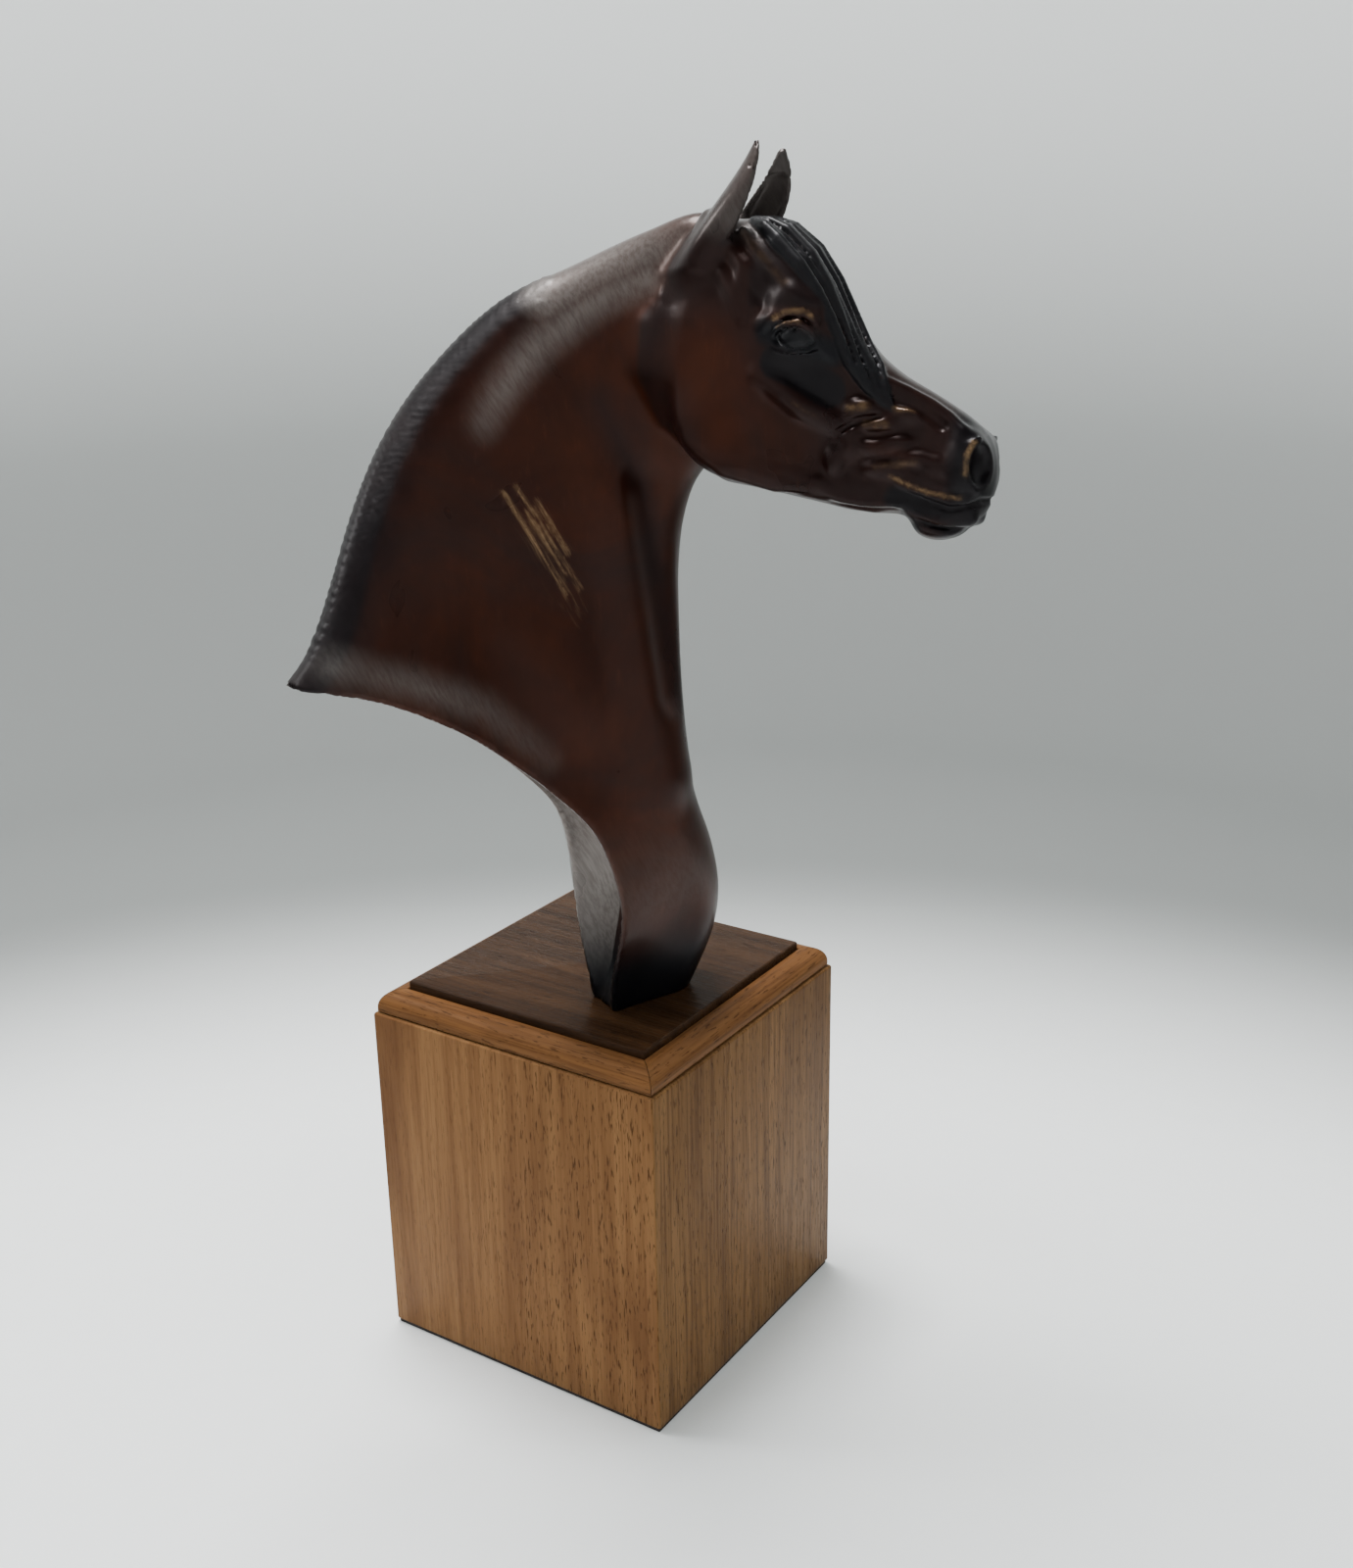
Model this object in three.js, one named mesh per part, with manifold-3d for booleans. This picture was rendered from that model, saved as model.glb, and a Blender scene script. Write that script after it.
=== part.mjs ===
import * as THREE from 'three';
import { mergeVertices } from 'three/addons/utils/BufferGeometryUtils.js';
import Module from 'manifold-3d';

const wasm = await Module();
wasm.setup();

// Driving dimensions in millimetres. Z is up, the floor is z = 0 and the plinth stands on the origin.
const plinthSide = 127;
const feltInset = 2.5;
const feltThickness = 1.5;
const feltCorner = 1;
const pieceGap = 0.3;
const boxHeight = 136;
const boxArris = 0.9;
const mouldingInset = 1.3;
const mouldingHeight = 8.6;
const mouldingRound = 6.6;
const panelInset = 10;
const panelRise = 2.9;
const panelArris = 0.7;
const cornerRound = 0.3;
const bustTurn = THREE.MathUtils.degToRad(33.3);

const boxTop = feltThickness + boxHeight;
const mouldingTop = boxTop + mouldingHeight;
const panelTop = mouldingTop + panelRise;

// The bust is drawn drawnHeight tall and made bustHeight tall; its walls keep their own sizes.
const bustHeight = 295.4;
const drawnHeight = 295.4;
const share = bustHeight / drawnHeight;

// The neck is drawn straight, then bent about an upright axis that stands over the foot.
const bendAxis = [14.5, -26.5];
const headingAtFoot = THREE.MathUtils.degToRad(36);
const headingAtPoll = THREE.MathUtils.degToRad(-22);
const bendStart = 12.7;
const bendEnd = 232.7;

// The head is rigid: it turns towards the near side and its far side hangs lower.
const headYaw = THREE.MathUtils.degToRad(-25);
const headRoll = THREE.MathUtils.degToRad(-7);
const headPivotHeight = 243.5;

// Bust landmarks: x forward from the bend axis, z up from the panel.
const neckOutline = [
  [-142, 130], [-128, 140.5], [-117.5, 152], [-107, 169.3], [-96.2, 187.4], [-82.8, 206.7],
  [-65.1, 226.5], [-41, 247.1], [-16.4, 258.5], [7.1, 268.3], [27.2, 274], [40, 268], [46, 250],
  [42, 225], [33, 203], [22, 189], [17.5, 176], [15.5, 160], [15, 143], [14.5, 114], [15.5, 96],
  [20, 76], [26, 58], [29.5, 40], [28.5, 24], [23.5, 9], [15, -6], [4, -14], [-20, -14], [-42, 0],
  [-46, 30], [-60, 66], [-92, 97], [-125, 116],
];

const headOutline = [
  [26, 262], [37.4, 271.5], [53.5, 270.5], [64, 263.5], [72, 253.5], [79, 242.5], [86, 233.5],
  [94.5, 227], [107, 220.5], [118, 214], [123.5, 209], [126, 202], [126, 194], [123.5, 186.5],
  [118.5, 181.8], [112, 178.5], [105.4, 178.8], [98.7, 184], [90, 184.4], [81.1, 184.8],
  [67.4, 187.4], [52.2, 190], [40.6, 191.5], [30, 196], [22.5, 205], [19.5, 218], [20.5, 240],
];

// The edge of the open underside, from below the foot up to beyond the withers.
const cutLine = [
  [-17, -30], [-18.5, -3], [-20.5, 20], [-20.8, 40], [-22.5, 55], [-28.6, 73.5], [-43.6, 91],
  [-58, 104], [-71.6, 115], [-85, 123.5], [-97, 129], [-111.6, 134], [-126, 136.5], [-160, 140],
];

// Half thickness and edge rounding at chosen places: x, z, half thickness, rounding.
const neckBuild = [
  [12, 258, 9.5, 12], [-20, 244, 12, 14], [-60, 212, 13, 15], [-90, 182, 12, 16], [-112, 150, 11, 13],
  [2, 225, 15, 16], [-35, 205, 18.5, 22], [-60, 170, 18.5, 24], [-85, 145, 13.5, 20],
  [4, 195, 15.5, 13], [-8, 168, 18, 15], [-30, 160, 20.5, 22], [0, 130, 20.5, 17], [-30, 125, 20, 22],
  [-60, 120, 13, 22], [-45, 96, 13.5, 20], [-27, 74, 16.5, 20], [0, 90, 22, 19], [14, 62, 22.5, 20],
  [-14, 45, 21.5, 20], [12, 34, 19.5, 18], [4, 20, 13.5, 14], [0, 8, 8.5, 10], [0, -8, 6, 8],
];

const headBuild = [
  [36, 264, 9, 9], [52, 258, 15, 9], [62, 248, 18.5, 9], [66, 236, 18.5, 9], [78, 230, 13.5, 8],
  [90, 221, 9.5, 6], [106, 213, 8, 6], [118, 206, 9, 7], [46, 240, 17.5, 9], [38, 218, 18, 8],
  [46, 198, 16.5, 7], [70, 217, 15.5, 8], [84, 208, 12.5, 8], [98, 202, 11, 7], [112, 198, 11.5, 7],
  [120, 194, 10.5, 7], [112, 186, 8.5, 6], [84, 192, 10, 6], [64, 196, 13, 7], [24, 225, 15.5, 8],
];

const rimWall = 2.4;
const troughDepth = 0.85;
const troughCentre = [-105, 0];
const farRimShift = 0.22;

const earBase = [30, 8, 252.5];
const earTip = [47.6, 10.2, 295];
const earForwardBow = 2.7;
const earOutwardBow = 3;
const earHalfWidth = 8.6;
const earDepth = 7.6;
const earWall = 1.9;
const earOpening = THREE.MathUtils.degToRad(55);

const clamp01 = (v) => Math.min(1, Math.max(0, v));

function smoothMin(a, b, k) {
  const h = clamp01(0.5 + (0.5 * (b - a)) / k);
  return b + (a - b) * h - k * h * (1 - h);
}

function smoothMax(a, b, k) {
  return -smoothMin(-a, -b, k);
}

function curveThrough(points, closed, perSpan) {
  const curve = new THREE.CatmullRomCurve3(
    points.map(([x, z]) => new THREE.Vector3(x, z, 0)), closed, 'centripetal');
  return curve.getPoints(points.length * perSpan).map((p) => [p.x, p.y]);
}

// How far a point lies inside a closed outline, negative outside it.
function depthInside(points) {
  return (x, z) => {
    let best = Infinity;
    let inside = false;
    points.forEach(([ax, az], i) => {
      const [bx, bz] = points[(i + 1) % points.length];
      const ex = bx - ax;
      const ez = bz - az;
      const t = clamp01(((x - ax) * ex + (z - az) * ez) / (ex * ex + ez * ez || 1));
      best = Math.min(best, (x - ax - t * ex) ** 2 + (z - az - t * ez) ** 2);
      if ((az > z) !== (bz > z) && x < ax + ((z - az) / ez) * ex) inside = !inside;
    });
    return (inside ? 1 : -1) * Math.sqrt(best);
  };
}

function blendedBuild(posts, reach) {
  return (x, z) => {
    let total = 1e-9;
    let thick = 0;
    let round = 0;
    for (const [px, pz, t, r] of posts) {
      const w = Math.exp(-((x - px) ** 2 + (z - pz) ** 2) / (2 * reach * reach)) + 1e-7;
      total += w;
      thick += w * t;
      round += w * r;
    }
    return [thick / total, round / total];
  };
}

// A flat outline swollen to its half thickness, with rounded edges.
function swollen(depth, build) {
  return (x, y, z) => {
    const [thick, round] = build(x, z);
    const edge = 1 - Math.min(1, depth(x, z) / round);
    return (Math.hypot(y / thick, edge) - 1) * Math.min(thick, round);
  };
}

function capsule(p, a, b, radius) {
  const ex = b[0] - a[0];
  const ey = b[1] - a[1];
  const ez = b[2] - a[2];
  const t = clamp01(((p[0] - a[0]) * ex + (p[1] - a[1]) * ey + (p[2] - a[2]) * ez)
    / (ex * ex + ey * ey + ez * ez));
  return Math.hypot(p[0] - a[0] - t * ex, p[1] - a[1] - t * ey, p[2] - a[2] - t * ez) - radius;
}

function ellipsoid(p, c, radii) {
  const k = Math.hypot((p[0] - c[0]) / radii[0], (p[1] - c[1]) / radii[1], (p[2] - c[2]) / radii[2]);
  return (k - 1) * Math.min(...radii);
}

const neckThickness = blendedBuild(neckBuild, 15);
const neckShape = swollen(depthInside(curveThrough(neckOutline, true, 3)), neckThickness);
const headShape = swollen(depthInside(curveThrough(headOutline, true, 3)), blendedBuild(headBuild, 8));

function neckField(x, y, z) {
  const p = [x, Math.abs(y), z];
  let f = neckShape(x, y, z);
  f = smoothMin(f, capsule(p, [-6, 9, 184], [0, 12, 90], 9.5), 12);
  f = smoothMax(f, -capsule(p, [6, 20, 190], [8, 24, 120], 5), 9);
  return f;
}

const eye = [65, 16.4, 236.5];

function headField(x, y, z) {
  const p = [x, Math.abs(y), z];
  let f = headShape(x, y, z);
  f = smoothMin(f, capsule(p, [60, 15, 221], [84, 11.5, 211], 3.6), 4);
  f = smoothMin(f, capsule(p, [58, 15, 243], [44, 10, 258], 4), 5);
  f = smoothMin(f, capsule(p, [31, 8, 250], [36, 9, 265], 6.5), 5);
  f = smoothMin(f, capsule(p, [20, 11, 251], [32, 11, 269], 3.2), 3.5);
  f = smoothMin(f, capsule(p, [44, 10, 197], [90, 6.5, 190], 4), 4);
  f = smoothMax(f, -ellipsoid(p, [50, 20, 247], [6, 4, 5]), 4);
  f = smoothMax(f, -ellipsoid(p, [66, 21, 236], [8, 5, 5.5]), 3);
  f = smoothMin(f, ellipsoid(p, eye, [5.4, 4.6, 4.6]), 0.8);
  f = smoothMin(f, capsule(p, [58.5, 17, 241], [70, 16.5, 241.6], 2.3), 2);
  f = smoothMin(f, capsule(p, [60, 17, 231.5], [71, 15, 232.5], 1.8), 2);
  f = smoothMin(f, ellipsoid(p, [119, 7, 201], [6, 6, 8.5]), 3);
  f = smoothMax(f, -ellipsoid(p, [122, 12, 201.5], [3.6, 5.5, 6.2]), 1.6);
  return f;
}

// Where a point of the bust lies in the straight neck.
function straightened(r, d, z) {
  const rr = r - bendAxis[0];
  const dd = d - bendAxis[1];
  let x = rr;
  let heading = 0;
  for (let i = 0; i < 6; i += 1) {
    const t = clamp01(((x + z) / Math.SQRT2 - bendStart) / (bendEnd - bendStart));
    heading = headingAtFoot + (headingAtPoll - headingAtFoot) * t * t * (3 - 2 * t);
    const next = Math.cos(heading) * rr + Math.sin(heading) * dd;
    x = i < 2 ? 0.5 * (x + next) : next;
  }
  return [x, Math.cos(heading) * dd - Math.sin(heading) * rr, z];
}

const headTurn = new THREE.Matrix4().makeTranslation(bendAxis[0], bendAxis[1], headPivotHeight)
  .multiply(new THREE.Matrix4().makeRotationZ(headYaw))
  .multiply(new THREE.Matrix4().makeRotationX(headRoll))
  .multiply(new THREE.Matrix4().makeTranslation(0, 0, -headPivotHeight));
const headUnturn = headTurn.clone().invert();
const scratch = new THREE.Vector3();

function bustField(r, d, z) {
  const neck = neckField(...straightened(r, d, z));
  scratch.set(r, d, z).applyMatrix4(headUnturn);
  const head = headField(scratch.x, scratch.y, scratch.z);
  return smoothMin(neck, head, 5);
}

// Grid lines that are fine between two places and coarse outside them.
function gridLines(from, to, fineFrom, fineTo, coarse, fine) {
  const places = [from];
  while (places[places.length - 1] < to) {
    const at = places[places.length - 1];
    places.push(at + (at >= fineFrom && at < fineTo ? fine : coarse));
  }
  return places;
}

const lines = [
  gridLines(-152, 150, 44, 150, 8.4, 3.5),
  gridLines(-122, 70, -92, -8, 7, 4.2),
  gridLines(-34, 290, 172, 290, 8.2, 3.8),
];
const gridShift = 0.37;
const gridTries = 12;

function settle(p, field) {
  for (let pass = 0; pass < 3; pass += 1) {
    const f = field(p[0], p[1], p[2]);
    const e = 0.05;
    const g = [
      (field(p[0] + e, p[1], p[2]) - f) / e,
      (field(p[0], p[1] + e, p[2]) - f) / e,
      (field(p[0], p[1], p[2] + e) - f) / e,
    ];
    const g2 = g[0] ** 2 + g[1] ** 2 + g[2] ** 2;
    if (g2 < 1e-6) return;
    const step = Math.max(-1.5, Math.min(1.5, f / Math.sqrt(g2))) / Math.sqrt(g2);
    for (let k = 0; k < 3; k += 1) p[k] -= g[k] * step;
  }
}

// One vertex in every grid cell that the surface crosses, one face across every crossed grid edge.
function meshField(field, [xs, ys, zs]) {
  const [nx, ny, nz] = [xs.length, ys.length, zs.length];
  const values = new Float64Array(nx * ny * nz);
  const id = (i, j, k) => (i * ny + j) * nz + k;
  xs.forEach((x, i) => ys.forEach((y, j) => zs.forEach((z, k) => {
    values[id(i, j, k)] = field(x, y, z);
  })));
  const vertexOf = new Map();
  const positions = [];
  const corners = [0, 1, 2, 3, 4, 5, 6, 7].map((c) => [c & 1, (c >> 1) & 1, (c >> 2) & 1]);
  for (let i = 0; i < nx - 1; i += 1) {
    for (let j = 0; j < ny - 1; j += 1) {
      for (let k = 0; k < nz - 1; k += 1) {
        const v = corners.map(([a, b, c]) => values[id(i + a, j + b, k + c)]);
        const inside = v.filter((f) => f < 0).length;
        if (inside === 0 || inside === 8) continue;
        const sum = [0, 0, 0];
        let count = 0;
        for (let a = 0; a < 8; a += 1) {
          for (let axis = 0; axis < 3; axis += 1) {
            const b = a | (1 << axis);
            if (b === a || v[a] < 0 === v[b] < 0) continue;
            const t = v[a] / (v[a] - v[b]);
            const at = [i, j, k].map((n, m) => n + corners[a][m] + (m === axis ? t : 0));
            at.forEach((n, m) => { sum[m] += n; });
            count += 1;
          }
        }
        const p = sum.map((n, m) => {
          const grid = [xs, ys, zs][m];
          const low = Math.min(Math.floor(n / count), grid.length - 2);
          return grid[low] + (n / count - low) * (grid[low + 1] - grid[low]);
        });
        settle(p, field);
        vertexOf.set(id(i, j, k), positions.length / 3);
        positions.push(...p);
      }
    }
  }
  const index = [];
  const steps = [[1, 0, 0], [0, 1, 0], [0, 0, 1]];
  for (let i = 1; i < nx - 1; i += 1) {
    for (let j = 1; j < ny - 1; j += 1) {
      for (let k = 1; k < nz - 1; k += 1) {
        steps.forEach((s, axis) => {
          const here = values[id(i, j, k)] < 0;
          const next = values[id(i + s[0], j + s[1], k + s[2])] < 0;
          if (here === next) return;
          const u = steps[(axis + 1) % 3];
          const w = steps[(axis + 2) % 3];
          const ring = [[0, 0], [1, 0], [1, 1], [0, 1]].map(([a, b]) => vertexOf.get(
            id(i - a * u[0] - b * w[0], j - a * u[1] - b * w[1], k - a * u[2] - b * w[2])));
          if (!here) ring.reverse();
          const span = (a, b) => [0, 1, 2].reduce(
            (sum, m) => sum + (positions[3 * ring[a] + m] - positions[3 * ring[b] + m]) ** 2, 0);
          if (span(1, 3) < span(0, 2)) ring.push(ring.shift());
          index.push(ring[0], ring[1], ring[2], ring[0], ring[2], ring[3]);
        });
      }
    }
  }
  return closedGeometry(positions, index);
}

// Whether an edge is shared by more than two faces.
function isPinched(geometry) {
  const seen = new Set();
  const { array } = geometry.index;
  for (let n = 0; n < array.length; n += 3) {
    for (let a = 0; a < 3; a += 1) {
      const edge = `${array[n + a]} ${array[n + (a + 1) % 3]}`;
      if (seen.has(edge)) return true;
      seen.add(edge);
    }
  }
  return false;
}

// The field's surface, from the first small shift of the grid that pinches it nowhere.
function surfaceOf(field, axes) {
  let geometry;
  for (let shift = 0; shift < gridTries; shift += 1) {
    geometry = meshField(field, axes.map((places) => places.map((at) => at - shift * gridShift)));
    if (!isPinched(geometry)) break;
  }
  return geometry;
}

function closedGeometry(positions, index) {
  const geometry = new THREE.BufferGeometry();
  geometry.setAttribute('position', new THREE.Float32BufferAttribute(positions, 3));
  geometry.setIndex(index);
  return geometry;
}

function bend(x, y, z) {
  const t = clamp01(((x + z) / Math.SQRT2 - bendStart) / (bendEnd - bendStart));
  const heading = headingAtFoot + (headingAtPoll - headingAtFoot) * t * t * (3 - 2 * t);
  return [
    bendAxis[0] + Math.cos(heading) * x - Math.sin(heading) * y,
    bendAxis[1] + Math.sin(heading) * x + Math.cos(heading) * y,
    z,
  ];
}

// The block that leaves the underside open: a trough between rims, deepest along the middle.
function undersideGeometry() {
  const stations = curveThrough(cutLine, false, 2);
  const across = [-4, -1, -0.9, -0.7, -0.4, 0, 0.4, 0.7, 0.9, 1, 4];
  const count = across.length;
  const positions = [];
  const index = [];
  for (const [x, z] of stations) {
    const rim = neckThickness(x, z)[0] - rimWall / share;
    const ax = x - troughCentre[0];
    const az = z - troughCentre[1];
    const reach = Math.hypot(ax, az);
    for (const back of [false, true]) {
      for (const a of across) {
        const y = a * rim;
        const deep = troughDepth * rim * Math.max(0, 1 - a * a) ** 0.75 * clamp01(z / 16 + 0.15);
        const scale = back ? 0.2 : (reach + deep) / reach;
        positions.push(...bend(
          troughCentre[0] + ax * scale + farRimShift * Math.max(0, Math.min(rim, y)),
          y, troughCentre[1] + az * scale));
      }
    }
  }
  const quad = (a, b, c, d) => index.push(a, b, c, a, c, d);
  const ring = 2 * count;
  for (let n = 0; n < stations.length - 1; n += 1) {
    const low = n * ring;
    for (let a = 0; a < count - 1; a += 1) {
      quad(low + a, low + a + 1, low + ring + a + 1, low + ring + a);
      const b = low + count + a;
      quad(b, b + ring, b + ring + 1, b + 1);
    }
    quad(low, low + ring, low + ring + count, low + count);
    const end = low + count - 1;
    quad(end, end + count, end + ring + count, end + ring);
  }
  for (let a = 0; a < count - 1; a += 1) {
    quad(a, a + count, a + count + 1, a + 1);
    const b = (stations.length - 1) * ring + a;
    quad(b, b + 1, b + count + 1, b + count);
  }
  return closedGeometry(positions, index);
}

// A pricked ear: crescent sections from the skull to a point, its cup open to the front.
function earGeometry(side) {
  const around = 7;
  const along = 9;
  const thickness = earWall / share;
  const positions = [];
  const index = [];
  const ring = 2 * around;
  const opening = -side * earOpening;
  const front = [Math.cos(opening), Math.sin(opening)];
  for (let n = 0; n <= along; n += 1) {
    const t = n / along;
    const swell = Math.max(0.08, Math.sqrt(1 - t ** 2.6) * (0.85 + 0.6 * t - 0.98 * t * t));
    const halfWidth = earHalfWidth * swell;
    const depth = earDepth * swell * (1.3 - 0.8 * t);
    const cx = earBase[0] + (earTip[0] - earBase[0]) * t + earForwardBow * 6.75 * t * t * (1 - t);
    const cy = side * (earBase[1] + (earTip[1] - earBase[1]) * t + earOutwardBow * 4 * t * (1 - t));
    const cz = earBase[2] + (earTip[2] - earBase[2]) * t;
    for (let wall = 0; wall < 2; wall += 1) {
      for (let a = 0; a < around; a += 1) {
        const turn = Math.PI * (a / (around - 1) - 0.5) * (wall ? -1 : 1);
        const width = Math.sin(turn) * (halfWidth - wall * thickness * 0.6 * swell);
        const back = Math.cos(turn) * Math.max(0.3 * depth, depth - wall * thickness);
        const deep = -back * (wall ? 0.8 : 1);
        positions.push(
          cx + front[0] * deep - front[1] * width, cy + front[1] * deep + front[0] * width, cz);
      }
    }
  }
  for (let n = 0; n < along; n += 1) {
    for (let a = 0; a < ring; a += 1) {
      const b = (a + 1) % ring;
      const low = n * ring;
      index.push(low + a, low + b, low + ring + b, low + a, low + ring + b, low + ring + a);
    }
  }
  for (const [start, turned] of [[0, true], [along * ring, false]]) {
    for (let a = 0; a < around - 1; a += 1) {
      const quad = [a, a + 1, ring - 2 - a, ring - 1 - a].map((v) => start + v);
      if (turned) quad.reverse();
      index.push(quad[0], quad[1], quad[2], quad[0], quad[2], quad[3]);
    }
  }
  return closedGeometry(positions, index).applyMatrix4(headTurn);
}

function toManifold(geometry) {
  const bare = geometry.clone();
  bare.deleteAttribute('normal');
  bare.deleteAttribute('uv');
  const merged = mergeVertices(bare, 1e-4);
  return new wasm.Manifold(new wasm.Mesh({
    numProp: 3,
    vertProperties: new Float32Array(merged.attributes.position.array),
    triVerts: new Uint32Array(merged.index.array),
  }));
}

function fromManifold(solid) {
  const mesh = solid.getMesh();
  return closedGeometry(Array.from(mesh.vertProperties), Array.from(mesh.triVerts));
}

// The foot is cut flat, so that it stands on the panel with a small gap.
function belowFoot() {
  const thick = bustHeight / 4;
  return new THREE.BoxGeometry(2 * bustHeight, 2 * bustHeight, thick).translate(0, 0, pieceGap - thick / 2);
}

function bustGeometry() {
  const made = (geometry) => toManifold(geometry.scale(share, share, share));
  let bust = made(surfaceOf(bustField, lines));
  for (const side of [-1, 1]) bust = bust.add(made(outwardFacing(earGeometry(side))));
  bust = bust.subtract(made(outwardFacing(undersideGeometry())));
  bust = bust.subtract(toManifold(belowFoot()));
  const geometry = fromManifold(bust);
  geometry.rotateZ(bustTurn);
  geometry.translate(0, 0, panelTop);
  return geometry;
}

function squareShape(side, corner) {
  const shape = new THREE.Shape();
  const h = side / 2;
  shape.moveTo(-h + corner, -h);
  for (const [x, y, turn] of [[h, -h, 0], [h, h, 1], [-h, h, 2], [-h, -h, 3]]) {
    const cx = x - Math.sign(x) * corner;
    const cy = y - Math.sign(y) * corner;
    shape.absarc(cx, cy, corner, (turn - 1) * Math.PI / 2, turn * Math.PI / 2, false);
  }
  return shape;
}

function slab(side, corner, from, to, bevel) {
  const geometry = new THREE.ExtrudeGeometry(squareShape(side - 2 * bevel, corner), {
    depth: to - from - 2 * bevel,
    bevelEnabled: bevel > 0,
    bevelThickness: bevel,
    bevelSize: bevel,
    bevelSegments: 2,
    curveSegments: 4,
  });
  geometry.translate(0, 0, from + bevel);
  return geometry;
}

// A bullnose strip along one side of the plinth, mitred at both ends.
function mouldingGeometry(quarter) {
  const outer = plinthSide / 2 - mouldingInset;
  const inner = plinthSide / 2 - panelInset + pieceGap;
  const low = boxTop + pieceGap;
  const profile = [[inner, low], [outer, low], [outer, mouldingTop - mouldingRound]];
  for (let n = 1; n <= 6; n += 1) {
    const a = (n / 6) * Math.PI / 2;
    profile.push([
      outer - mouldingRound * (1 - Math.cos(a)), mouldingTop - mouldingRound * (1 - Math.sin(a)),
    ]);
  }
  profile.push([inner, mouldingTop]);
  const count = profile.length;
  const positions = [];
  for (const end of [-1, 1]) {
    for (const [out, z] of profile) positions.push(end * (out - pieceGap / 2), -out, z);
  }
  const index = [];
  for (let n = 0; n < count; n += 1) {
    const m = (n + 1) % count;
    index.push(n, n + count, m + count, n, m + count, m);
  }
  const caps = THREE.ShapeUtils.triangulateShape(profile.map(([x, z]) => new THREE.Vector2(x, z)), []);
  for (const [a, b, c] of caps) {
    index.push(a, b, c, count + a, count + c, count + b);
  }
  const geometry = closedGeometry(positions, index);
  geometry.rotateZ(quarter * Math.PI / 2);
  return geometry;
}

function solidVolume(geometry) {
  const p = geometry.attributes.position;
  const order = geometry.index;
  let volume = 0;
  const [a, b, c] = [new THREE.Vector3(), new THREE.Vector3(), new THREE.Vector3()];
  for (let n = 0; n < order.count; n += 3) {
    a.fromBufferAttribute(p, order.getX(n));
    b.fromBufferAttribute(p, order.getX(n + 1));
    c.fromBufferAttribute(p, order.getX(n + 2));
    volume += a.dot(b.cross(c)) / 6;
  }
  return volume;
}

function outwardFacing(geometry) {
  if (!geometry.index || solidVolume(geometry) > 0) return geometry;
  geometry.setIndex(Array.from(geometry.index.array).reverse());
  return geometry;
}

function piece(name, geometry, colour, roughness, metalness) {
  const material = new THREE.MeshStandardMaterial({ color: colour, roughness, metalness });
  const mesh = new THREE.Mesh(outwardFacing(geometry), material);
  mesh.geometry.computeVertexNormals();
  mesh.name = name;
  return mesh;
}

const part = new THREE.Group();
part.name = 'horse_sculpture';
part.add(piece('horse_bust', bustGeometry(), 0x4a2214, 0.32, 0.75));
part.add(piece('felt_pad', slab(plinthSide - 2 * feltInset, feltCorner, 0, feltThickness, 0), 0x16181b, 0.95, 0));
part.add(piece('plinth_box',
  slab(plinthSide, cornerRound, feltThickness + pieceGap, boxTop, boxArris), 0x9a6a48, 0.42, 0));
const panelSide = plinthSide - 2 * panelInset;
part.add(piece('top_panel',
  slab(panelSide, cornerRound, boxTop + pieceGap, panelTop, panelArris), 0x5c3a22, 0.35, 0));
['front_left', 'front_right', 'back_right', 'back_left'].forEach((where, quarter) => {
  part.add(piece(`moulding_${where}`, mouldingGeometry(quarter), 0x7a4a28, 0.38, 0));
});

export default part;
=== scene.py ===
"""A bronze bust of an Arabian horse on a walnut plinth."""

import math

import bpy
import numpy as np
from mathutils import Matrix, Vector


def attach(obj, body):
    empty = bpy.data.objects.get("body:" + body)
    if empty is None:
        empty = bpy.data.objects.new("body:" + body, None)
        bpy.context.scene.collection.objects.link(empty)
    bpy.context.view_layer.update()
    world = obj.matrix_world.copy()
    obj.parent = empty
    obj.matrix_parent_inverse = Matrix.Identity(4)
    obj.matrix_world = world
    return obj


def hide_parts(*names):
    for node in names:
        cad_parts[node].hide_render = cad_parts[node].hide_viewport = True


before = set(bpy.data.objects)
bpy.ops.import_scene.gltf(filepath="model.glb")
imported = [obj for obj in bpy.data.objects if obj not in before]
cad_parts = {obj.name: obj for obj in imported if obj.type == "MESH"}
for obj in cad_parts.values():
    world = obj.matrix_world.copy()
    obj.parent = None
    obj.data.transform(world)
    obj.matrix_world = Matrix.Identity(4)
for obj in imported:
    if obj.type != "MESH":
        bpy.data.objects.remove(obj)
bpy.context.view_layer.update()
MM = 0.001

# Plinth, in millimetres.
PLINTH_SIDE = 127.0
FELT_TOP = 1.5
FELT_SHOWN_INSET = 0.7
FELT_ARRIS = 0.4
PIECE_GAP = 0.3
BOX_TOP = 137.5
BOX_ARRIS = 0.9
MOULDING_INSET = 1.3
MOULDING_TOP = 146.1
MOULDING_ROUND = 6.6
PANEL_INSET = 10.0
PANEL_TOP = 149.0
PANEL_ARRIS = 0.7

# The bronze is drawn in millimetres above the plinth's panel, as a field that is negative inside.
BEND_AXIS = (14.5, -26.5)
HEADING_FOOT = math.radians(36)
HEADING_POLL = math.radians(-22)
BEND_FROM, BEND_TO = 12.7, 232.7
HEAD_YAW = math.radians(-25)
HEAD_ROLL = math.radians(-7)
HEAD_PIVOT = np.array([14.5, -26.5, 243.5])
BUST_TURN = math.radians(33.3)

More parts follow.
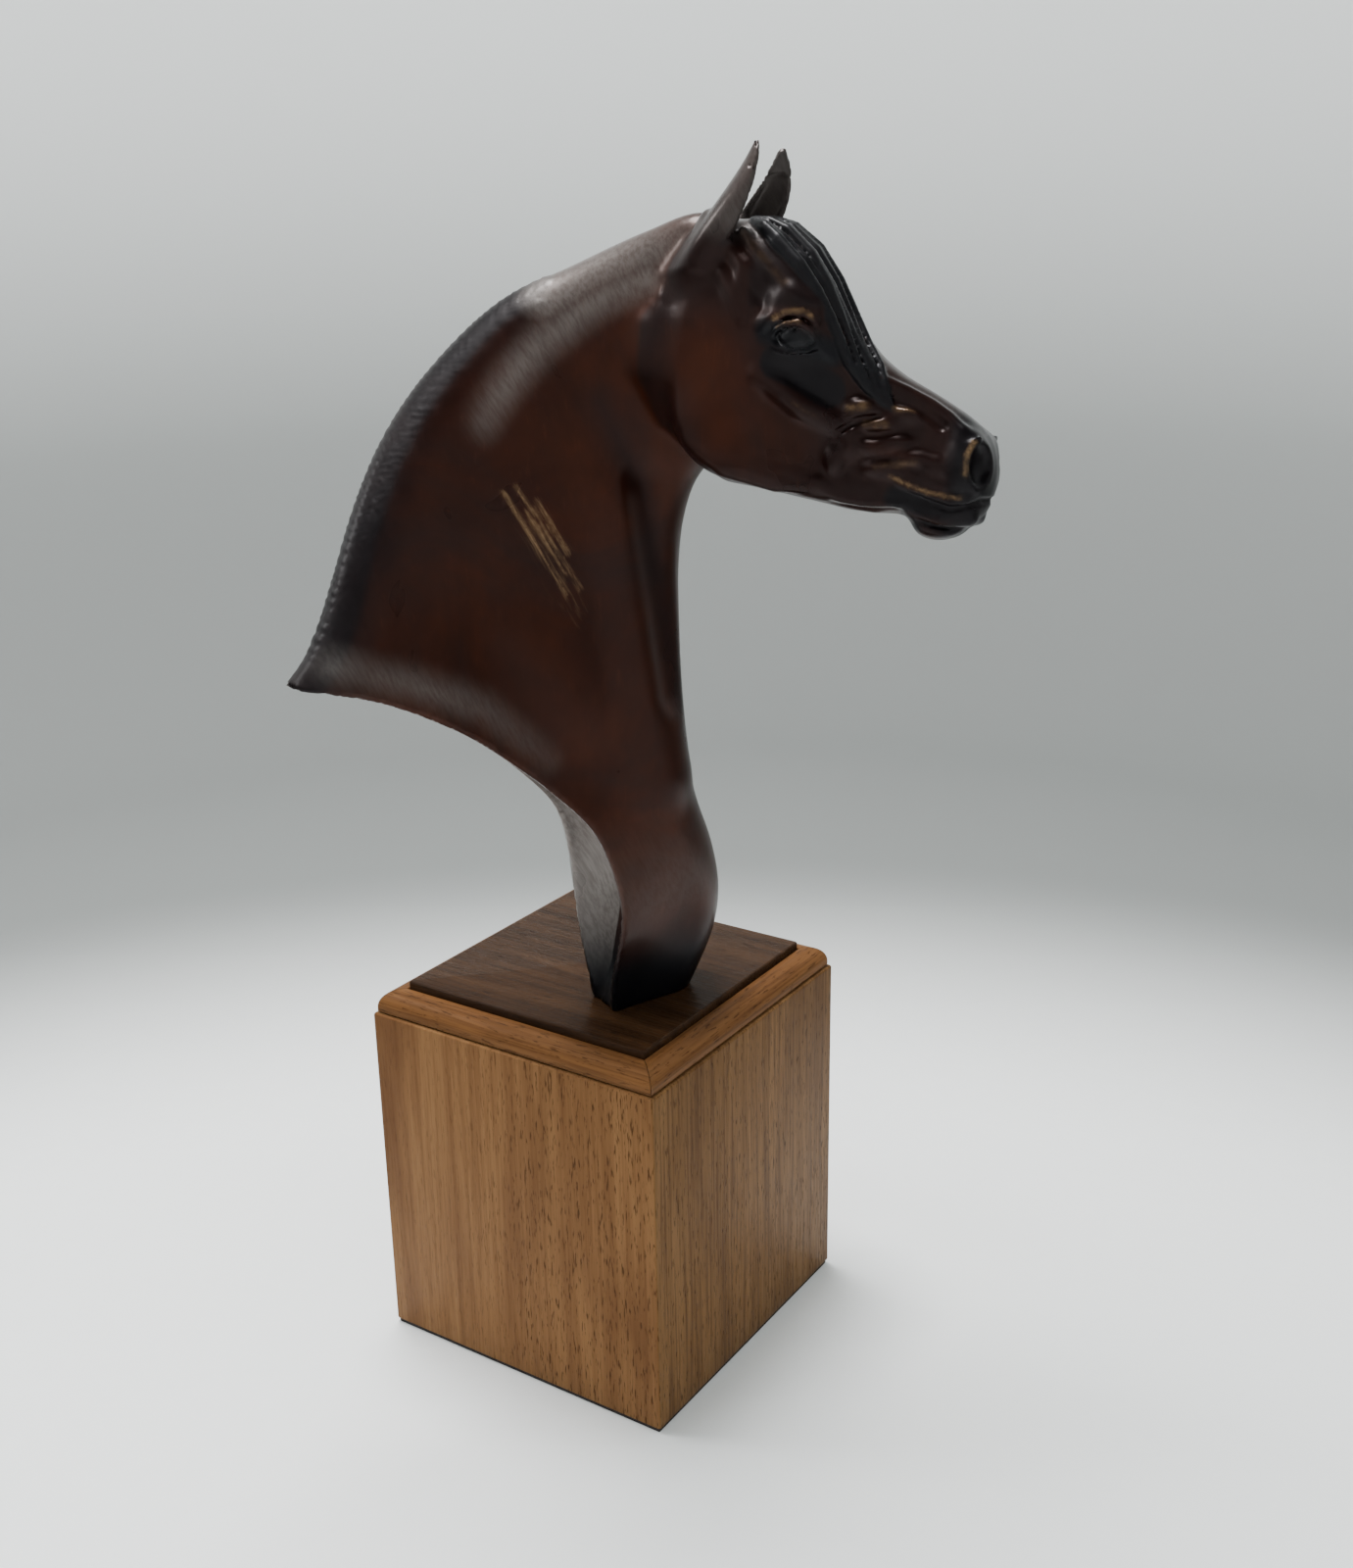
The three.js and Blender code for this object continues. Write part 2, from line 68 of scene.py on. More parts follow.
NECK_OUTLINE = [
    (-142, 130), (-128, 140.5), (-117.5, 152), (-107, 169.3), (-96.2, 187.4), (-82.8, 206.7),
    (-65.1, 226.5), (-41, 247.1), (-16.4, 258.5), (7.1, 268.3), (27.2, 274), (40, 268), (46, 250),
    (42, 225), (33, 203), (22, 189), (17.5, 176), (15.5, 160), (15, 143), (14.5, 114), (15.5, 96),
    (20, 76), (26, 58), (29.5, 40), (28.5, 24), (23.5, 9), (15, -6), (4, -14), (-20, -14), (-42, 0),
    (-46, 30), (-60, 66), (-92, 97), (-125, 116),
]
HEAD_OUTLINE = [
    (26, 262), (37.4, 271.5), (53.5, 270.5), (64, 263.5), (72, 253.5), (79, 242.5), (86, 233.5),
    (94.5, 227), (107, 220.5), (118, 214), (123.5, 209), (126, 202), (126, 194), (123.5, 186.5),
    (118.5, 181.8), (112, 178.5), (105.4, 178.8), (98.7, 184), (90, 184.4), (81.1, 184.8),
    (67.4, 187.4), (52.2, 190), (40.6, 191.5), (30, 196), (22.5, 205), (19.5, 218), (20.5, 240),
]
CUT_LINE = [
    (-17, -30), (-18.5, -3), (-20.5, 20), (-20.8, 40), (-22.5, 55), (-28.6, 73.5), (-43.6, 91),
    (-58, 104), (-71.6, 115), (-85, 123.5), (-97, 130), (-111.6, 136), (-126, 139.5), (-160, 144),
]
# Half thickness and edge rounding at chosen places: x, z, half thickness, rounding.
NECK_BUILD = [
    (12, 258, 9.5, 12), (-20, 244, 12, 14), (-60, 212, 13, 15), (-90, 182, 12, 16), (-112, 150, 11, 13),
    (2, 225, 15, 16), (-35, 205, 18.5, 22), (-60, 170, 18.5, 24), (-85, 145, 13.5, 20),
    (4, 195, 15.5, 13), (-8, 168, 18, 15), (-30, 160, 20.5, 22), (0, 130, 20.5, 17), (-30, 125, 20, 22),
    (-60, 120, 13, 22), (-45, 96, 13.5, 20), (-27, 74, 16.5, 20), (0, 90, 22, 19), (14, 62, 22.5, 20),
    (-14, 45, 21.5, 20), (12, 34, 19.5, 18), (4, 20, 13.5, 14), (0, 8, 8.5, 10), (0, -8, 6, 8),
]
HEAD_BUILD = [
    (36, 264, 9, 9), (52, 258, 15, 9), (62, 248, 18.5, 9), (66, 236, 18.5, 9), (78, 230, 13.5, 8),
    (90, 221, 9.5, 6), (106, 213, 8, 6), (118, 206, 9, 7), (46, 240, 17.5, 9), (38, 218, 18, 8),
    (46, 198, 16.5, 7), (70, 217, 15.5, 8), (84, 208, 12.5, 8), (98, 202, 11, 7), (112, 198, 11.5, 7),
    (120, 194, 10.5, 7), (112, 186, 8.5, 6), (84, 192, 10, 6), (64, 196, 13, 7), (24, 225, 15.5, 8),
]
RIM_WALL = 2.4
TROUGH_DEPTH = 0.85
TROUGH_CENTRE = (-105.0, 0.0)
FAR_RIM_SHIFT = 0.22
FAR_AWAY = 30.0


def smooth_min(a, b, k):
    h = np.clip(0.5 + 0.5 * (b - a) / k, 0.0, 1.0)
    return b + (a - b) * h - k * h * (1.0 - h)


def smooth_max(a, b, k):
    return -smooth_min(-a, -b, k)


def ease(t):
    """From 0 to 1 with a soft start and end."""
    t = np.clip(t, 0, 1)
    return t * t * (3 - 2 * t)


def fade(x, low, high):
    """0 at low and 1 at high, whichever of them is larger."""
    return ease((x - low) / (high - low))


def mirrored(p):
    """The same points, all brought to one side of the middle plane."""
    return np.stack([p[:, 0], np.abs(p[:, 1]), p[:, 2]], 1)


def slope(field, p, f, reach):
    """The field's gradient, from a small move along each axis."""
    return np.stack([(field(p + move) - f) / reach for move in np.eye(3) * reach], 1)


def curve_through(points, closed, per_span):
    """A centripetal Catmull-Rom curve through the points."""
    p = np.array(points, float)
    n = len(p)
    spans = n if closed else n - 1
    out = []
    for i in range(spans):
        p1, p2 = p[i], p[(i + 1) % n]
        p0 = p[(i - 1) % n] if closed or i > 0 else 2 * p1 - p2
        p3 = p[(i + 2) % n] if closed or i + 2 < n else 2 * p2 - p1
        k1 = np.linalg.norm(p1 - p0) ** 0.5
        k2 = np.linalg.norm(p2 - p1) ** 0.5
        k3 = np.linalg.norm(p3 - p2) ** 0.5
        m1 = (p2 - p1) + k2 * ((p1 - p0) / k1 - (p2 - p0) / (k1 + k2))
        m2 = (p2 - p1) + k2 * ((p3 - p2) / k3 - (p3 - p1) / (k2 + k3))
        for t in np.arange(per_span) / per_span:
            out.append((2 * t**3 - 3 * t**2 + 1) * p1 + (t**3 - 2 * t**2 + t) * m1
                       + (3 * t**2 - 2 * t**3) * p2 + (t**3 - t**2) * m2)
    if not closed:
        out.append(p[-1])
    return np.array(out)


class Plate:
    """Values over the profile plane, kept on a fine grid and read between its places."""

    def __init__(self, low, high, step):
        self.low, self.step = np.array(low, float), step
        self.shape = tuple(int((h - l) / step) + 2 for l, h in zip(low, high))
        x = low[0] + step * np.arange(self.shape[0])
        z = low[1] + step * np.arange(self.shape[1])
        self.x, self.z = np.meshgrid(x, z, indexing="ij")

    def read(self, values, x, z):
        u = np.clip((x - self.low[0]) / self.step, 0, self.shape[0] - 1.001)
        v = np.clip((z - self.low[1]) / self.step, 0, self.shape[1] - 1.001)
        i, j = u.astype(int), v.astype(int)
        a, b = u - i, v - j
        return ((1 - a) * (1 - b) * values[i, j] + a * (1 - b) * values[i + 1, j]
                + (1 - a) * b * values[i, j + 1] + a * b * values[i + 1, j + 1])

    def depth(self, outline):
        """Distance inside a closed outline, negative outside it."""
        best = np.full(self.shape, 1e9)
        inside = np.zeros(self.shape, bool)
        for (ax, az), (bx, bz) in zip(outline, np.roll(outline, -1, axis=0)):
            ex, ez = bx - ax, bz - az
            t = np.clip(((self.x - ax) * ex + (self.z - az) * ez) / (ex * ex + ez * ez + 1e-12), 0, 1)
            best = np.minimum(best, (self.x - ax - t * ex) ** 2 + (self.z - az - t * ez) ** 2)
            if az != bz:
                crosses = (az > self.z) != (bz > self.z)
                inside ^= crosses & (self.x < ax + (self.z - az) / ez * ex)
        return np.where(inside, 1.0, -1.0) * np.sqrt(best)

    def build(self, posts, reach):
        total = np.full(self.shape, 1e-9)
        thick = np.zeros(self.shape)
        edge = np.zeros(self.shape)
        for px, pz, t, r in posts:
            w = np.exp(-((self.x - px) ** 2 + (self.z - pz) ** 2) / (2 * reach * reach)) + 1e-7
            total += w
            thick += w * t
            edge += w * r
        return thick / total, edge / total


def heading_at(x, z):
    """The neck's heading in plan, which turns from the foot to the poll."""
    turned = fade((x + z) / math.sqrt(2), BEND_FROM, BEND_TO)
    return HEADING_FOOT + (HEADING_POLL - HEADING_FOOT) * turned


def straightened(p):
    """Where a point of the bust lies in the straight neck."""
    rr, dd, z = p[:, 0] - BEND_AXIS[0], p[:, 1] - BEND_AXIS[1], p[:, 2]
    x = rr.copy()
    for turn in range(6):
        heading = heading_at(x, z)
        moved = np.cos(heading) * rr + np.sin(heading) * dd
        x = 0.5 * (x + moved) if turn < 2 else moved
    return np.stack([x, np.cos(heading) * dd - np.sin(heading) * rr, z], 1)


def head_matrix():
    cy, sy = math.cos(HEAD_YAW), math.sin(HEAD_YAW)
    cr, sr = math.cos(HEAD_ROLL), math.sin(HEAD_ROLL)
    yaw = np.array([[cy, -sy, 0], [sy, cy, 0], [0, 0, 1]])
    roll = np.array([[1, 0, 0], [0, cr, -sr], [0, sr, cr]])
    return yaw @ roll


HEAD_TURN = head_matrix()


def in_head(p):
    q = (p - HEAD_PIVOT) @ HEAD_TURN
    q[:, 2] += HEAD_PIVOT[2]
    return q


def ellipsoid(p, centre, radii):
    k = np.sqrt((((p - np.array(centre)) / np.array(radii)) ** 2).sum(1))
    return (k - 1.0) * min(radii)


def swollen(y, depth, thick, edge):
    """A profile given a half thickness, rounded off towards its edge."""
    fall = 1.0 - np.minimum(1.0, depth / edge)
    return (np.hypot(y / thick, fall) - 1.0) * np.minimum(thick, edge)


def near(p, low, high, margin):
    return np.all((p > np.array(low) - margin) & (p < np.array(high) + margin), axis=1)


def blend_in(f, picked, d, k, carve):
    f[picked] = smooth_max(f[picked], -d, k) if carve else smooth_min(f[picked], d, k)


def line_distance(p, points, radii):
    """Distance outside a tapering tube along the points."""
    points = np.array(points, float)
    radii = np.broadcast_to(np.array(radii, float), (len(points),))
    best = np.full(len(p), 1e9)
    for a, b, ra, rb in zip(points[:-1], points[1:], radii[:-1], radii[1:]):
        e = b - a
        t = np.clip(((p - a) @ e) / (e @ e), 0, 1)
        best = np.minimum(best, np.linalg.norm(p - a - t[:, None] * e, axis=1) - ra - (rb - ra) * t)
    return best


def add_tube(f, p, points, radii, k, carve=False):
    """Join a tapering tube along the points to the field, or carve it out."""
    low, high = np.min(points, axis=0), np.max(points, axis=0)
    picked = np.flatnonzero(near(p, low, high, np.max(radii) + k + 1.5))
    if len(picked):
        blend_in(f, picked, line_distance(p[picked], points, radii), k, carve)


def add_ball(f, p, centre, radii, k, carve=False):
    centre, radii = np.array(centre, float), np.array(radii, float)
    picked = np.flatnonzero(near(p, centre - radii, centre + radii, k + 1.5))
    if len(picked):
        blend_in(f, picked, ellipsoid(p[picked], centre, radii), k, carve)


NECK_PLATE = Plate((-165, -40), (60, 285), 0.5)
HEAD_PLATE = Plate((5, 165), (145, 300), 0.4)
NECK_DEPTH = NECK_PLATE.depth(curve_through(NECK_OUTLINE, True, 6))
NECK_THICK, NECK_EDGE = NECK_PLATE.build(NECK_BUILD, 15)
HEAD_DEPTH = HEAD_PLATE.depth(curve_through(HEAD_OUTLINE, True, 6))
HEAD_THICK, HEAD_EDGE = HEAD_PLATE.build(HEAD_BUILD, 8)

CREST = curve_through(NECK_OUTLINE[1:12], False, 10)
MANE_WIDTH = 7.6
MANE_START = -26.0
HAIR_PITCH = 2.9


def mane_relief():
    """How far the cropped mane stands out, its band, and the distance from the crest."""
    x, z = NECK_PLATE.x, NECK_PLATE.z
    best = np.full(x.shape, 1e9)
    along = np.zeros(x.shape)
    run = 0.0
    for (ax, az), (bx, bz) in zip(CREST[:-1], CREST[1:]):
        ex, ez = bx - ax, bz - az
        length = math.hypot(ex, ez)
        t = np.clip(((x - ax) * ex + (z - az) * ez) / (length * length), 0, 1)
        d = np.hypot(x - ax - t * ex, z - az - t * ez)
        closer = d < best
        best = np.where(closer, d, best)
        along = np.where(closer, run + t * length, along)
        run += length
    wobble = 0.8 * np.sin(along / 5.3) + 0.5 * np.sin(along / 2.1 + 1.0)
    ragged = 0.4 * np.sin(along / 3.1) + 0.3 * np.sin(along / 1.3)
    band = np.clip((MANE_WIDTH + ragged - best) / 2.6 + 0.5, 0, 1)
    band *= np.clip((MANE_START + 2.0 * np.sin(best) - x) / 2.5 + 0.5, 0, 1)
    hair = np.cos(2 * math.pi * (along + 0.9 * best + wobble) / HAIR_PITCH)
    fine = np.cos(2 * math.pi * (along + 0.6 * best - wobble) / (0.53 * HAIR_PITCH))
    low = np.clip((175 - z) / 30, 0, 1)
    relief = band * (0.35 + (0.10 + 0.22 * low) * hair + 0.06 * fine) * np.clip((z - 146) / 6, 0.2, 1)
    return relief, band, best


MANE_RELIEF, MANE_BAND, FROM_CREST = mane_relief()


def trough_table():
    """The cut edge seen from the trough's centre: angle, reach, rim half width and depth."""
    line = curve_through(CUT_LINE, False, 8)
    ax, az = line[:, 0] - TROUGH_CENTRE[0], line[:, 1] - TROUGH_CENTRE[1]
    rim = NECK_PLATE.read(NECK_THICK, line[:, 0], line[:, 1]) - RIM_WALL
    near_foot = np.clip(line[:, 1] / 16 + 0.15, 0, 1)
    near_tip = np.clip((line[:, 0] + 124) / 20, 0, 1)
    deep = TROUGH_DEPTH * rim * near_foot * near_tip
    return np.arctan2(az, ax), np.hypot(ax, az), rim, deep


TROUGH = trough_table()


def trough_field(q):
    """Positive where the open back is cut away."""
    angle, reach, rim, deep = TROUGH
    guess = np.arctan2(q[:, 2] - TROUGH_CENTRE[1], q[:, 0] - TROUGH_CENTRE[0])
    half = np.interp(guess, angle, rim)
    x = q[:, 0] - FAR_RIM_SHIFT * np.clip(q[:, 1], 0, half)
    ax, az = x - TROUGH_CENTRE[0], q[:, 2] - TROUGH_CENTRE[1]
    here = np.arctan2(az, ax)
    across = np.clip(np.abs(q[:, 1]) / half, 0, 1)
    sink = np.interp(here, angle, deep) * (1 - across * across) ** 0.75
    return np.interp(here, angle, reach) + sink - np.hypot(ax, az)


def neck_field(q):
    """The straight neck: muscle, groove, mane and open back."""
    x, y, z = q[:, 0], q[:, 1], q[:, 2]
    thick = NECK_PLATE.read(NECK_THICK, x, z)
    edge = NECK_PLATE.read(NECK_EDGE, x, z)
    f = swollen(y, NECK_PLATE.read(NECK_DEPTH, x, z), thick, edge)
    p = mirrored(q)
    add_tube(f, p, [(-6, 9, 184), (0, 12, 90)], 9.5, 12)
    add_tube(f, p, [(6, 20, 190), (8, 24, 120)], 5, 9, carve=True)
    f -= NECK_PLATE.read(MANE_RELIEF, x, z)
    return smooth_max(f, trough_field(q), 0.8)


EAR_BASE = np.array([30.0, 8.0, 254.0])
EAR_TIP = np.array([47.6, 10.2, 295.0])
EAR_BULGE = np.array([2.7, 3.0])
EAR_HALF_WIDTH = 8.6
EAR_DEPTH = 7.6
EAR_WALL = 1.9
EAR_OPENING = math.radians(55)


def ear_section(p):
    """Share of the height, distances across and forward, and the section's half width and depth."""
    t = np.clip((p[:, 2] - EAR_BASE[2]) / (EAR_TIP[2] - EAR_BASE[2]), 0, 1)
    bow = 4 * t * (1 - t)
    dx = p[:, 0] - EAR_BASE[0] - (EAR_TIP[0] - EAR_BASE[0]) * t - EAR_BULGE[0] * 6.75 * t * t * (1 - t)
    dy = p[:, 1] - EAR_BASE[1] - (EAR_TIP[1] - EAR_BASE[1]) * t - EAR_BULGE[1] * bow
    forward = math.cos(EAR_OPENING) * dx - math.sin(EAR_OPENING) * dy
    across = math.sin(EAR_OPENING) * dx + math.cos(EAR_OPENING) * dy
    swell = np.sqrt(np.maximum(1 - t ** 2.6, 1e-3)) * (0.85 + 0.6 * t - 0.98 * t * t)
    return t, across, forward, EAR_HALF_WIDTH * swell, EAR_DEPTH * swell * (1.3 - 0.8 * t)


def ear_field(p):
    t, across, forward, wide, back = ear_section(p)
    f = (np.hypot(across / wide, forward / back) - 1) * np.minimum(wide, back)
    f = smooth_max(f, forward - 0.5, 0.8)
    wide_in = np.maximum(wide - 0.75 * EAR_WALL, 0.2)
    back_in = np.maximum(0.85 * (back - EAR_WALL), 0.2)
    cup = (np.hypot(across / wide_in, forward / back_in) - 1) * np.minimum(wide_in, back_in)
    cup += 22 * np.maximum(0, 0.16 - t) + 14 * np.maximum(0, t - 0.78)
    f = smooth_max(f, -cup, 0.7) + 0.5 * np.maximum(0, 256 - p[:, 2])
    return smooth_max(f, np.maximum(p[:, 2] - EAR_TIP[2], EAR_BASE[2] - 6 - p[:, 2]), 1.0)


def bare_head(q):
    """The head before its features are added."""
    x, y, z = q[:, 0], q[:, 1], q[:, 2]
    thick = HEAD_PLATE.read(HEAD_THICK, x, z)
    edge = HEAD_PLATE.read(HEAD_EDGE, x, z)
    f = swollen(y, HEAD_PLATE.read(HEAD_DEPTH, x, z), thick, edge)
    skull(f, mirrored(q))
    return f


def head_field(q):
    f = bare_head(q)
    p = mirrored(q)
    eye_forms(f, p)
    face_veins(f, p)
    muzzle(f, p)
    picked = np.flatnonzero(near(p, (18, -1, 247), (60, 26, 296), 6))
    if len(picked):
        blend = 1.4 + 2.6 * np.clip((264 - p[picked, 2]) / 10, 0, 1)
        f[picked] = smooth_min(f[picked], ear_field(p[picked]), blend)
    forelock(f, q)
    return f


def skull(f, p):
    """Cheek, brow, poll, throat, temple hollows and the jaw's edge."""
    add_tube(f, p, [(44, 10, 197), (68, 9, 193), (90, 6.5, 190)], 4, 4)
    add_tube(f, p, [(58, 14.2, 244), (44, 10, 258)], 4, 6)
    add_tube(f, p, [(31, 8, 250), (36, 9, 265)], 6.5, 5)
    add_tube(f, p, [(25.5, 10.4, 259), (29, 11, 264), (33.5, 11, 271)], (0.8, 2.8, 3.2), 4.5)
    add_tube(f, p, [(19, 7, 246), (17, 7.5, 238), (16.5, 7, 225), (18, 5, 212)], (1, 4.5, 5, 2), 9)
    add_ball(f, p, (73, 21, 224), (10, 4, 6), 5, carve=True)
    cheekbone = [(54, 15.6, 225), (62.4, 16.2, 219.8), (68, 15.4, 216), (79, 13.0, 211)]
    add_tube(f, p, cheekbone, (1.2, 1.9, 1.9, 1.3), 4.5)
    add_ball(f, p, (52.5, 20.4, 248.5), (5.5, 4, 5), 4, carve=True)
    temple_front = [
        (45, 12.6, 268), (50, 13.4, 262), (56, 15.2, 256.5), (62, 16.4, 250.6), (66, 17, 246.4),
    ]
    add_tube(f, p, temple_front, (1.0, 1.2, 1.4, 1.4, 1.4), 2.6)
    temple_middle = [(42, 13.8, 262), (47, 15.2, 257), (47, 15.6, 251), (51, 16.2, 245)]
    add_tube(f, p, temple_middle, (1.2, 1.6, 1.3, 1.3), 2.6)
    add_tube(f, p, [(40, 14.6, 255), (45, 15.8, 248), (48, 16.2, 242)], (1.2, 1.5, 1.2), 3)
    jaw = [
        (31, 15, 204), (42, 14, 195.5), (59, 11.6, 191), (67.6, 12.2, 192.2), (74, 12, 193),
        (81, 10.8, 189), (88, 10.2, 188.2), (101.5, 9.4, 188),
    ]
    add_tube(f, p, jaw, (1.4, 1.4, 1.2, 1.4, 1.4, 1.2, 1.1, 0.8), 2)
    add_tube(f, p, [(78, 10.6, 186), (86, 9.2, 185.4), (97, 8.6, 185.2)], 1.3, 1.5, carve=True)


EYE = (65.8, 13.6, 236.3)
EYE_RADII = (6.9, 6.3, 5.3)


def eye_forms(f, p):
    """Brow, socket, eyeball, both lids and the fold above them."""
    add_tube(f, p, [(59, 15.4, 247.5), (64, 16.4, 248), (71, 15.2, 245.6)], (1.2, 2.0, 1.6), 4.5)
    add_ball(f, p, (65.4, 21.4, 236.0), (8.0, 4.4, 5.2), 2.4, carve=True)
    add_ball(f, p, EYE, EYE_RADII, 0.3)
    upper = [
        (57.6, 16.8, 235.4), (60, 18.7, 238.4), (63.6, 19.9, 240.2), (67.6, 19.8, 240.6),
        (71, 18.3, 238.8), (73.2, 16.2, 234.6),
    ]
    add_tube(f, p, upper, (0.4, 0.75, 1.0, 1.05, 0.9, 0.4), 0.9)
    fold = [
        (54.4, 16.8, 238.6), (58.4, 18.6, 241.8), (63.4, 19.5, 243.6), (68.6, 18.9, 243.4),
        (72.4, 17.2, 241),
    ]
    add_tube(f, p, fold, (0.6, 1.0, 1.15, 1.1, 0.7), 1.4)
    lower = [
        (57.6, 16.8, 235.2), (60.6, 18.3, 232.9), (65.2, 18.8, 231.7), (69.6, 17.9, 232.2),
        (73, 16.1, 234.2), (76.6, 13.9, 230.6),
    ]
    add_tube(f, p, lower, (0.4, 0.55, 0.6, 0.6, 0.55, 0.5), 1.6)


# Swollen places below the eye and on the nose: centre, radii.
SWELLINGS = [
    ((85.5, 10.8, 216.4), (4.6, 3.2, 2.6)), ((100, 8.6, 215.4), (4.4, 2.8, 2.4)),
    ((91.0, 11.0, 211.6), (5.4, 2.4, 1.7)), ((83.5, 12.4, 206.6), (2.4, 2.0, 4.2)),
    ((90.5, 11.2, 204.6), (4.2, 2.2, 2.0)), ((97.0, 10.2, 206.4), (4.0, 2.0, 1.8)),
    ((92.6, 10.8, 198.6), (4.2, 2.2, 2.4)), ((103, 9.6, 201.8), (4.6, 2.4, 2.0)),
    ((110, 9.4, 199.6), (3.6, 2.2, 2.6)), ((78.6, 12.6, 200.6), (2.6, 1.8, 3.6)),
]


def face_veins(f, p):
    for centre, radii in SWELLINGS:
        add_ball(f, p, centre, radii, 2.2)
    vein = [
        (79, 11.8, 211.4), (83, 11.8, 214.4), (88, 11, 215), (93, 9.8, 213.4), (99, 8.4, 215),
        (106, 7.2, 213),
    ]
    add_tube(f, p, vein, (0.7, 1.1, 1.3, 1.0, 1.3, 0.6), 3.2)
    below_vein = [(80, 14.0, 209.2), (86, 13.2, 212.6), (92, 11.8, 214)]
    add_tube(f, p, below_vein, (0.5, 0.8, 0.5), 1.6, carve=True)
    nasal_bone = [
        (91, 8.6, 225), (98.5, 7.2, 222), (106.4, 6.4, 218.3), (112, 6.7, 214.8), (117, 8.0, 210.8),
    ]
    add_tube(f, p, nasal_bone, (0.9, 1.2, 1.3, 1.4, 1.5), 1.8)
    below_bone = [(94, 10.6, 219.6), (103, 9.2, 216.8), (111, 8.8, 211.8)]
    add_tube(f, p, below_bone, (0.9, 1.1, 0.9), 1.8, carve=True)


def muzzle(f, p):
    """Nostril and its rim, chin, both lips and the slit between them."""
    add_ball(f, p, (119, 7, 201), (6.4, 5.4, 9), 3)
    add_ball(f, p, (110, 3.0, 181.6), (6.4, 4.6, 3.6), 3)
    add_tube(f, p, [(103, 7.0, 186.6), (112, 6.4, 184.8), (120, 4.4, 184.8)], (2.4, 2.8, 2.4), 2)
    under_lip = [(104, 9.4, 183.6), (112, 8.0, 181.8), (119, 4.6, 181.4)]
    add_tube(f, p, under_lip, (0.6, 1.0, 0.8), 0.9, carve=True)
    rim = [
        (122.8, 9.2, 208.8), (120.8, 10.5, 206.4), (119.8, 11.0, 200.6), (120.8, 10.5, 195.8),
        (122.6, 9.6, 193.8),
    ]
    add_tube(f, p, rim, (0.4, 0.9, 1.05, 0.95, 0.5), 1.7)
    add_ball(f, p, (124.4, 11.0, 201.2), (3.7, 6.6, 6.8), 0.8, carve=True)
    lip = [
        (96, 10.2, 196.4), (99.5, 10.3, 194.4), (103.6, 10.2, 193.0), (109.2, 10.0, 191.4),
        (115.4, 9.7, 189.8), (119.6, 9.2, 190.8), (121.8, 8, 194),
    ]
    add_tube(f, p, lip, (0.5, 0.9, 1.15, 1.2, 1.2, 1.2, 0.9), 1.3)
    slit = [
        (98.6, 11, 192.6), (103.6, 10.8, 190.9), (109.2, 10.7, 189.0), (115.4, 10.1, 187.4),
        (119.8, 9.1, 188.2), (123.6, 6, 190.2), (126, 0, 190.4),
    ]
    add_tube(f, p, slit, (0.4, 0.9, 1.15, 1.15, 1.1, 1.0, 1.0), 0.5, carve=True)
    add_tube(f, p, [(98, 10.2, 198.6), (105, 10.2, 196), (113, 10.0, 193.8)], (0.4, 0.9, 0.5), 2)


# The forelock's two edges, from the poll to its tip.
LOCK_NEAR = [
    (45, -6.3, 271), (51, -10.5, 267.5), (56, -13.2, 263), (64, -15, 256), (70, -15, 249),
    (74.7, -14.2, 242), (78.3, -13.6, 235), (81, -13, 229), (86, -11.4, 222.4), (91.5, -10.4, 218),
    (95.7, -9.9, 216),
]
LOCK_FAR = [
    (42, 3.5, 272.5), (49, 5, 271.8), (55.5, 5.4, 270), (64, 4.6, 264), (72, 3, 254.5),
    (79, 0.5, 243.5), (85, -3, 235), (90, -6, 228), (93.4, -8.2, 222), (95, -9.4, 218.6),
    (96.4, -9.8, 216),
]
LOCKS = 9


def lay_on_surface(line, field, rise):
    """Move points along the field's slope until they stand a little above its surface."""
    p = np.array(line, float)
    for _ in range(5):
        f = field(p)
        grad = slope(field, p, f, 0.05)
        size = (grad ** 2).sum(1, keepdims=True)
        p -= grad / size * (f - rise)[:, None]
    return p


def forelock_strands():
    """Strands spread between the two edges and laid on the bare head: points, radii."""
    strands = []
    near_edge, far_edge = np.array(LOCK_NEAR), np.array(LOCK_FAR)
    run = np.arange(len(near_edge)) / (len(near_edge) - 1)
    pitch = np.linalg.norm(far_edge - near_edge, axis=1) / (LOCKS - 1)
    for n in range(LOCKS):
        sway = 0.06 * np.sin(5.5 * run + 2.4 * n) * np.sin(math.pi * run)
        mix = np.clip(n / (LOCKS - 1) + sway, 0, 1)[:, None]
        line = near_edge + (far_edge - near_edge) * mix
        size = np.maximum(0.60 * pitch, 0.45) * (1 + 0.22 * math.sin(2.1 * n))
        size = size * np.clip(5 * run + 0.6, 0, 1)
        strands.append((lay_on_surface(line, bare_head, 0.3 + 0.35 * (n % 2)), size))
    return strands


STRANDS = forelock_strands()


def forelock(f, q):
    for line, size in STRANDS:
        add_tube(f, q, line, size, 0.42)


def bust_field(p):
    """Negative inside the whole bronze, in its own frame."""
    f = np.full(len(p), FAR_AWAY)
    behind = np.flatnonzero((p[:, 0] < 75) | (p[:, 2] < 175))
    f[behind] = neck_field(straightened(p[behind]))
    ahead = np.flatnonzero((p[:, 0] > 0) & (p[:, 2] > 160))
    if len(ahead):
        rise = p[ahead, 2]
        blend = 3.0 + 11.0 * ease((rise - 200) / 34) * ease((272 - rise) / 20)
        f[ahead] = smooth_min(f[ahead], head_field(in_head(p[ahead])), blend)
    return np.maximum(f, 0.3 - p[:, 2])


def grid_lines(low, high, fine_from, fine_to, coarse, fine):
    places = [low]
    while places[-1] < high:
        at = places[-1]
        places.append(at + (fine if fine_from <= at < fine_to else coarse))
    return np.array(places)


BLOCK = 8


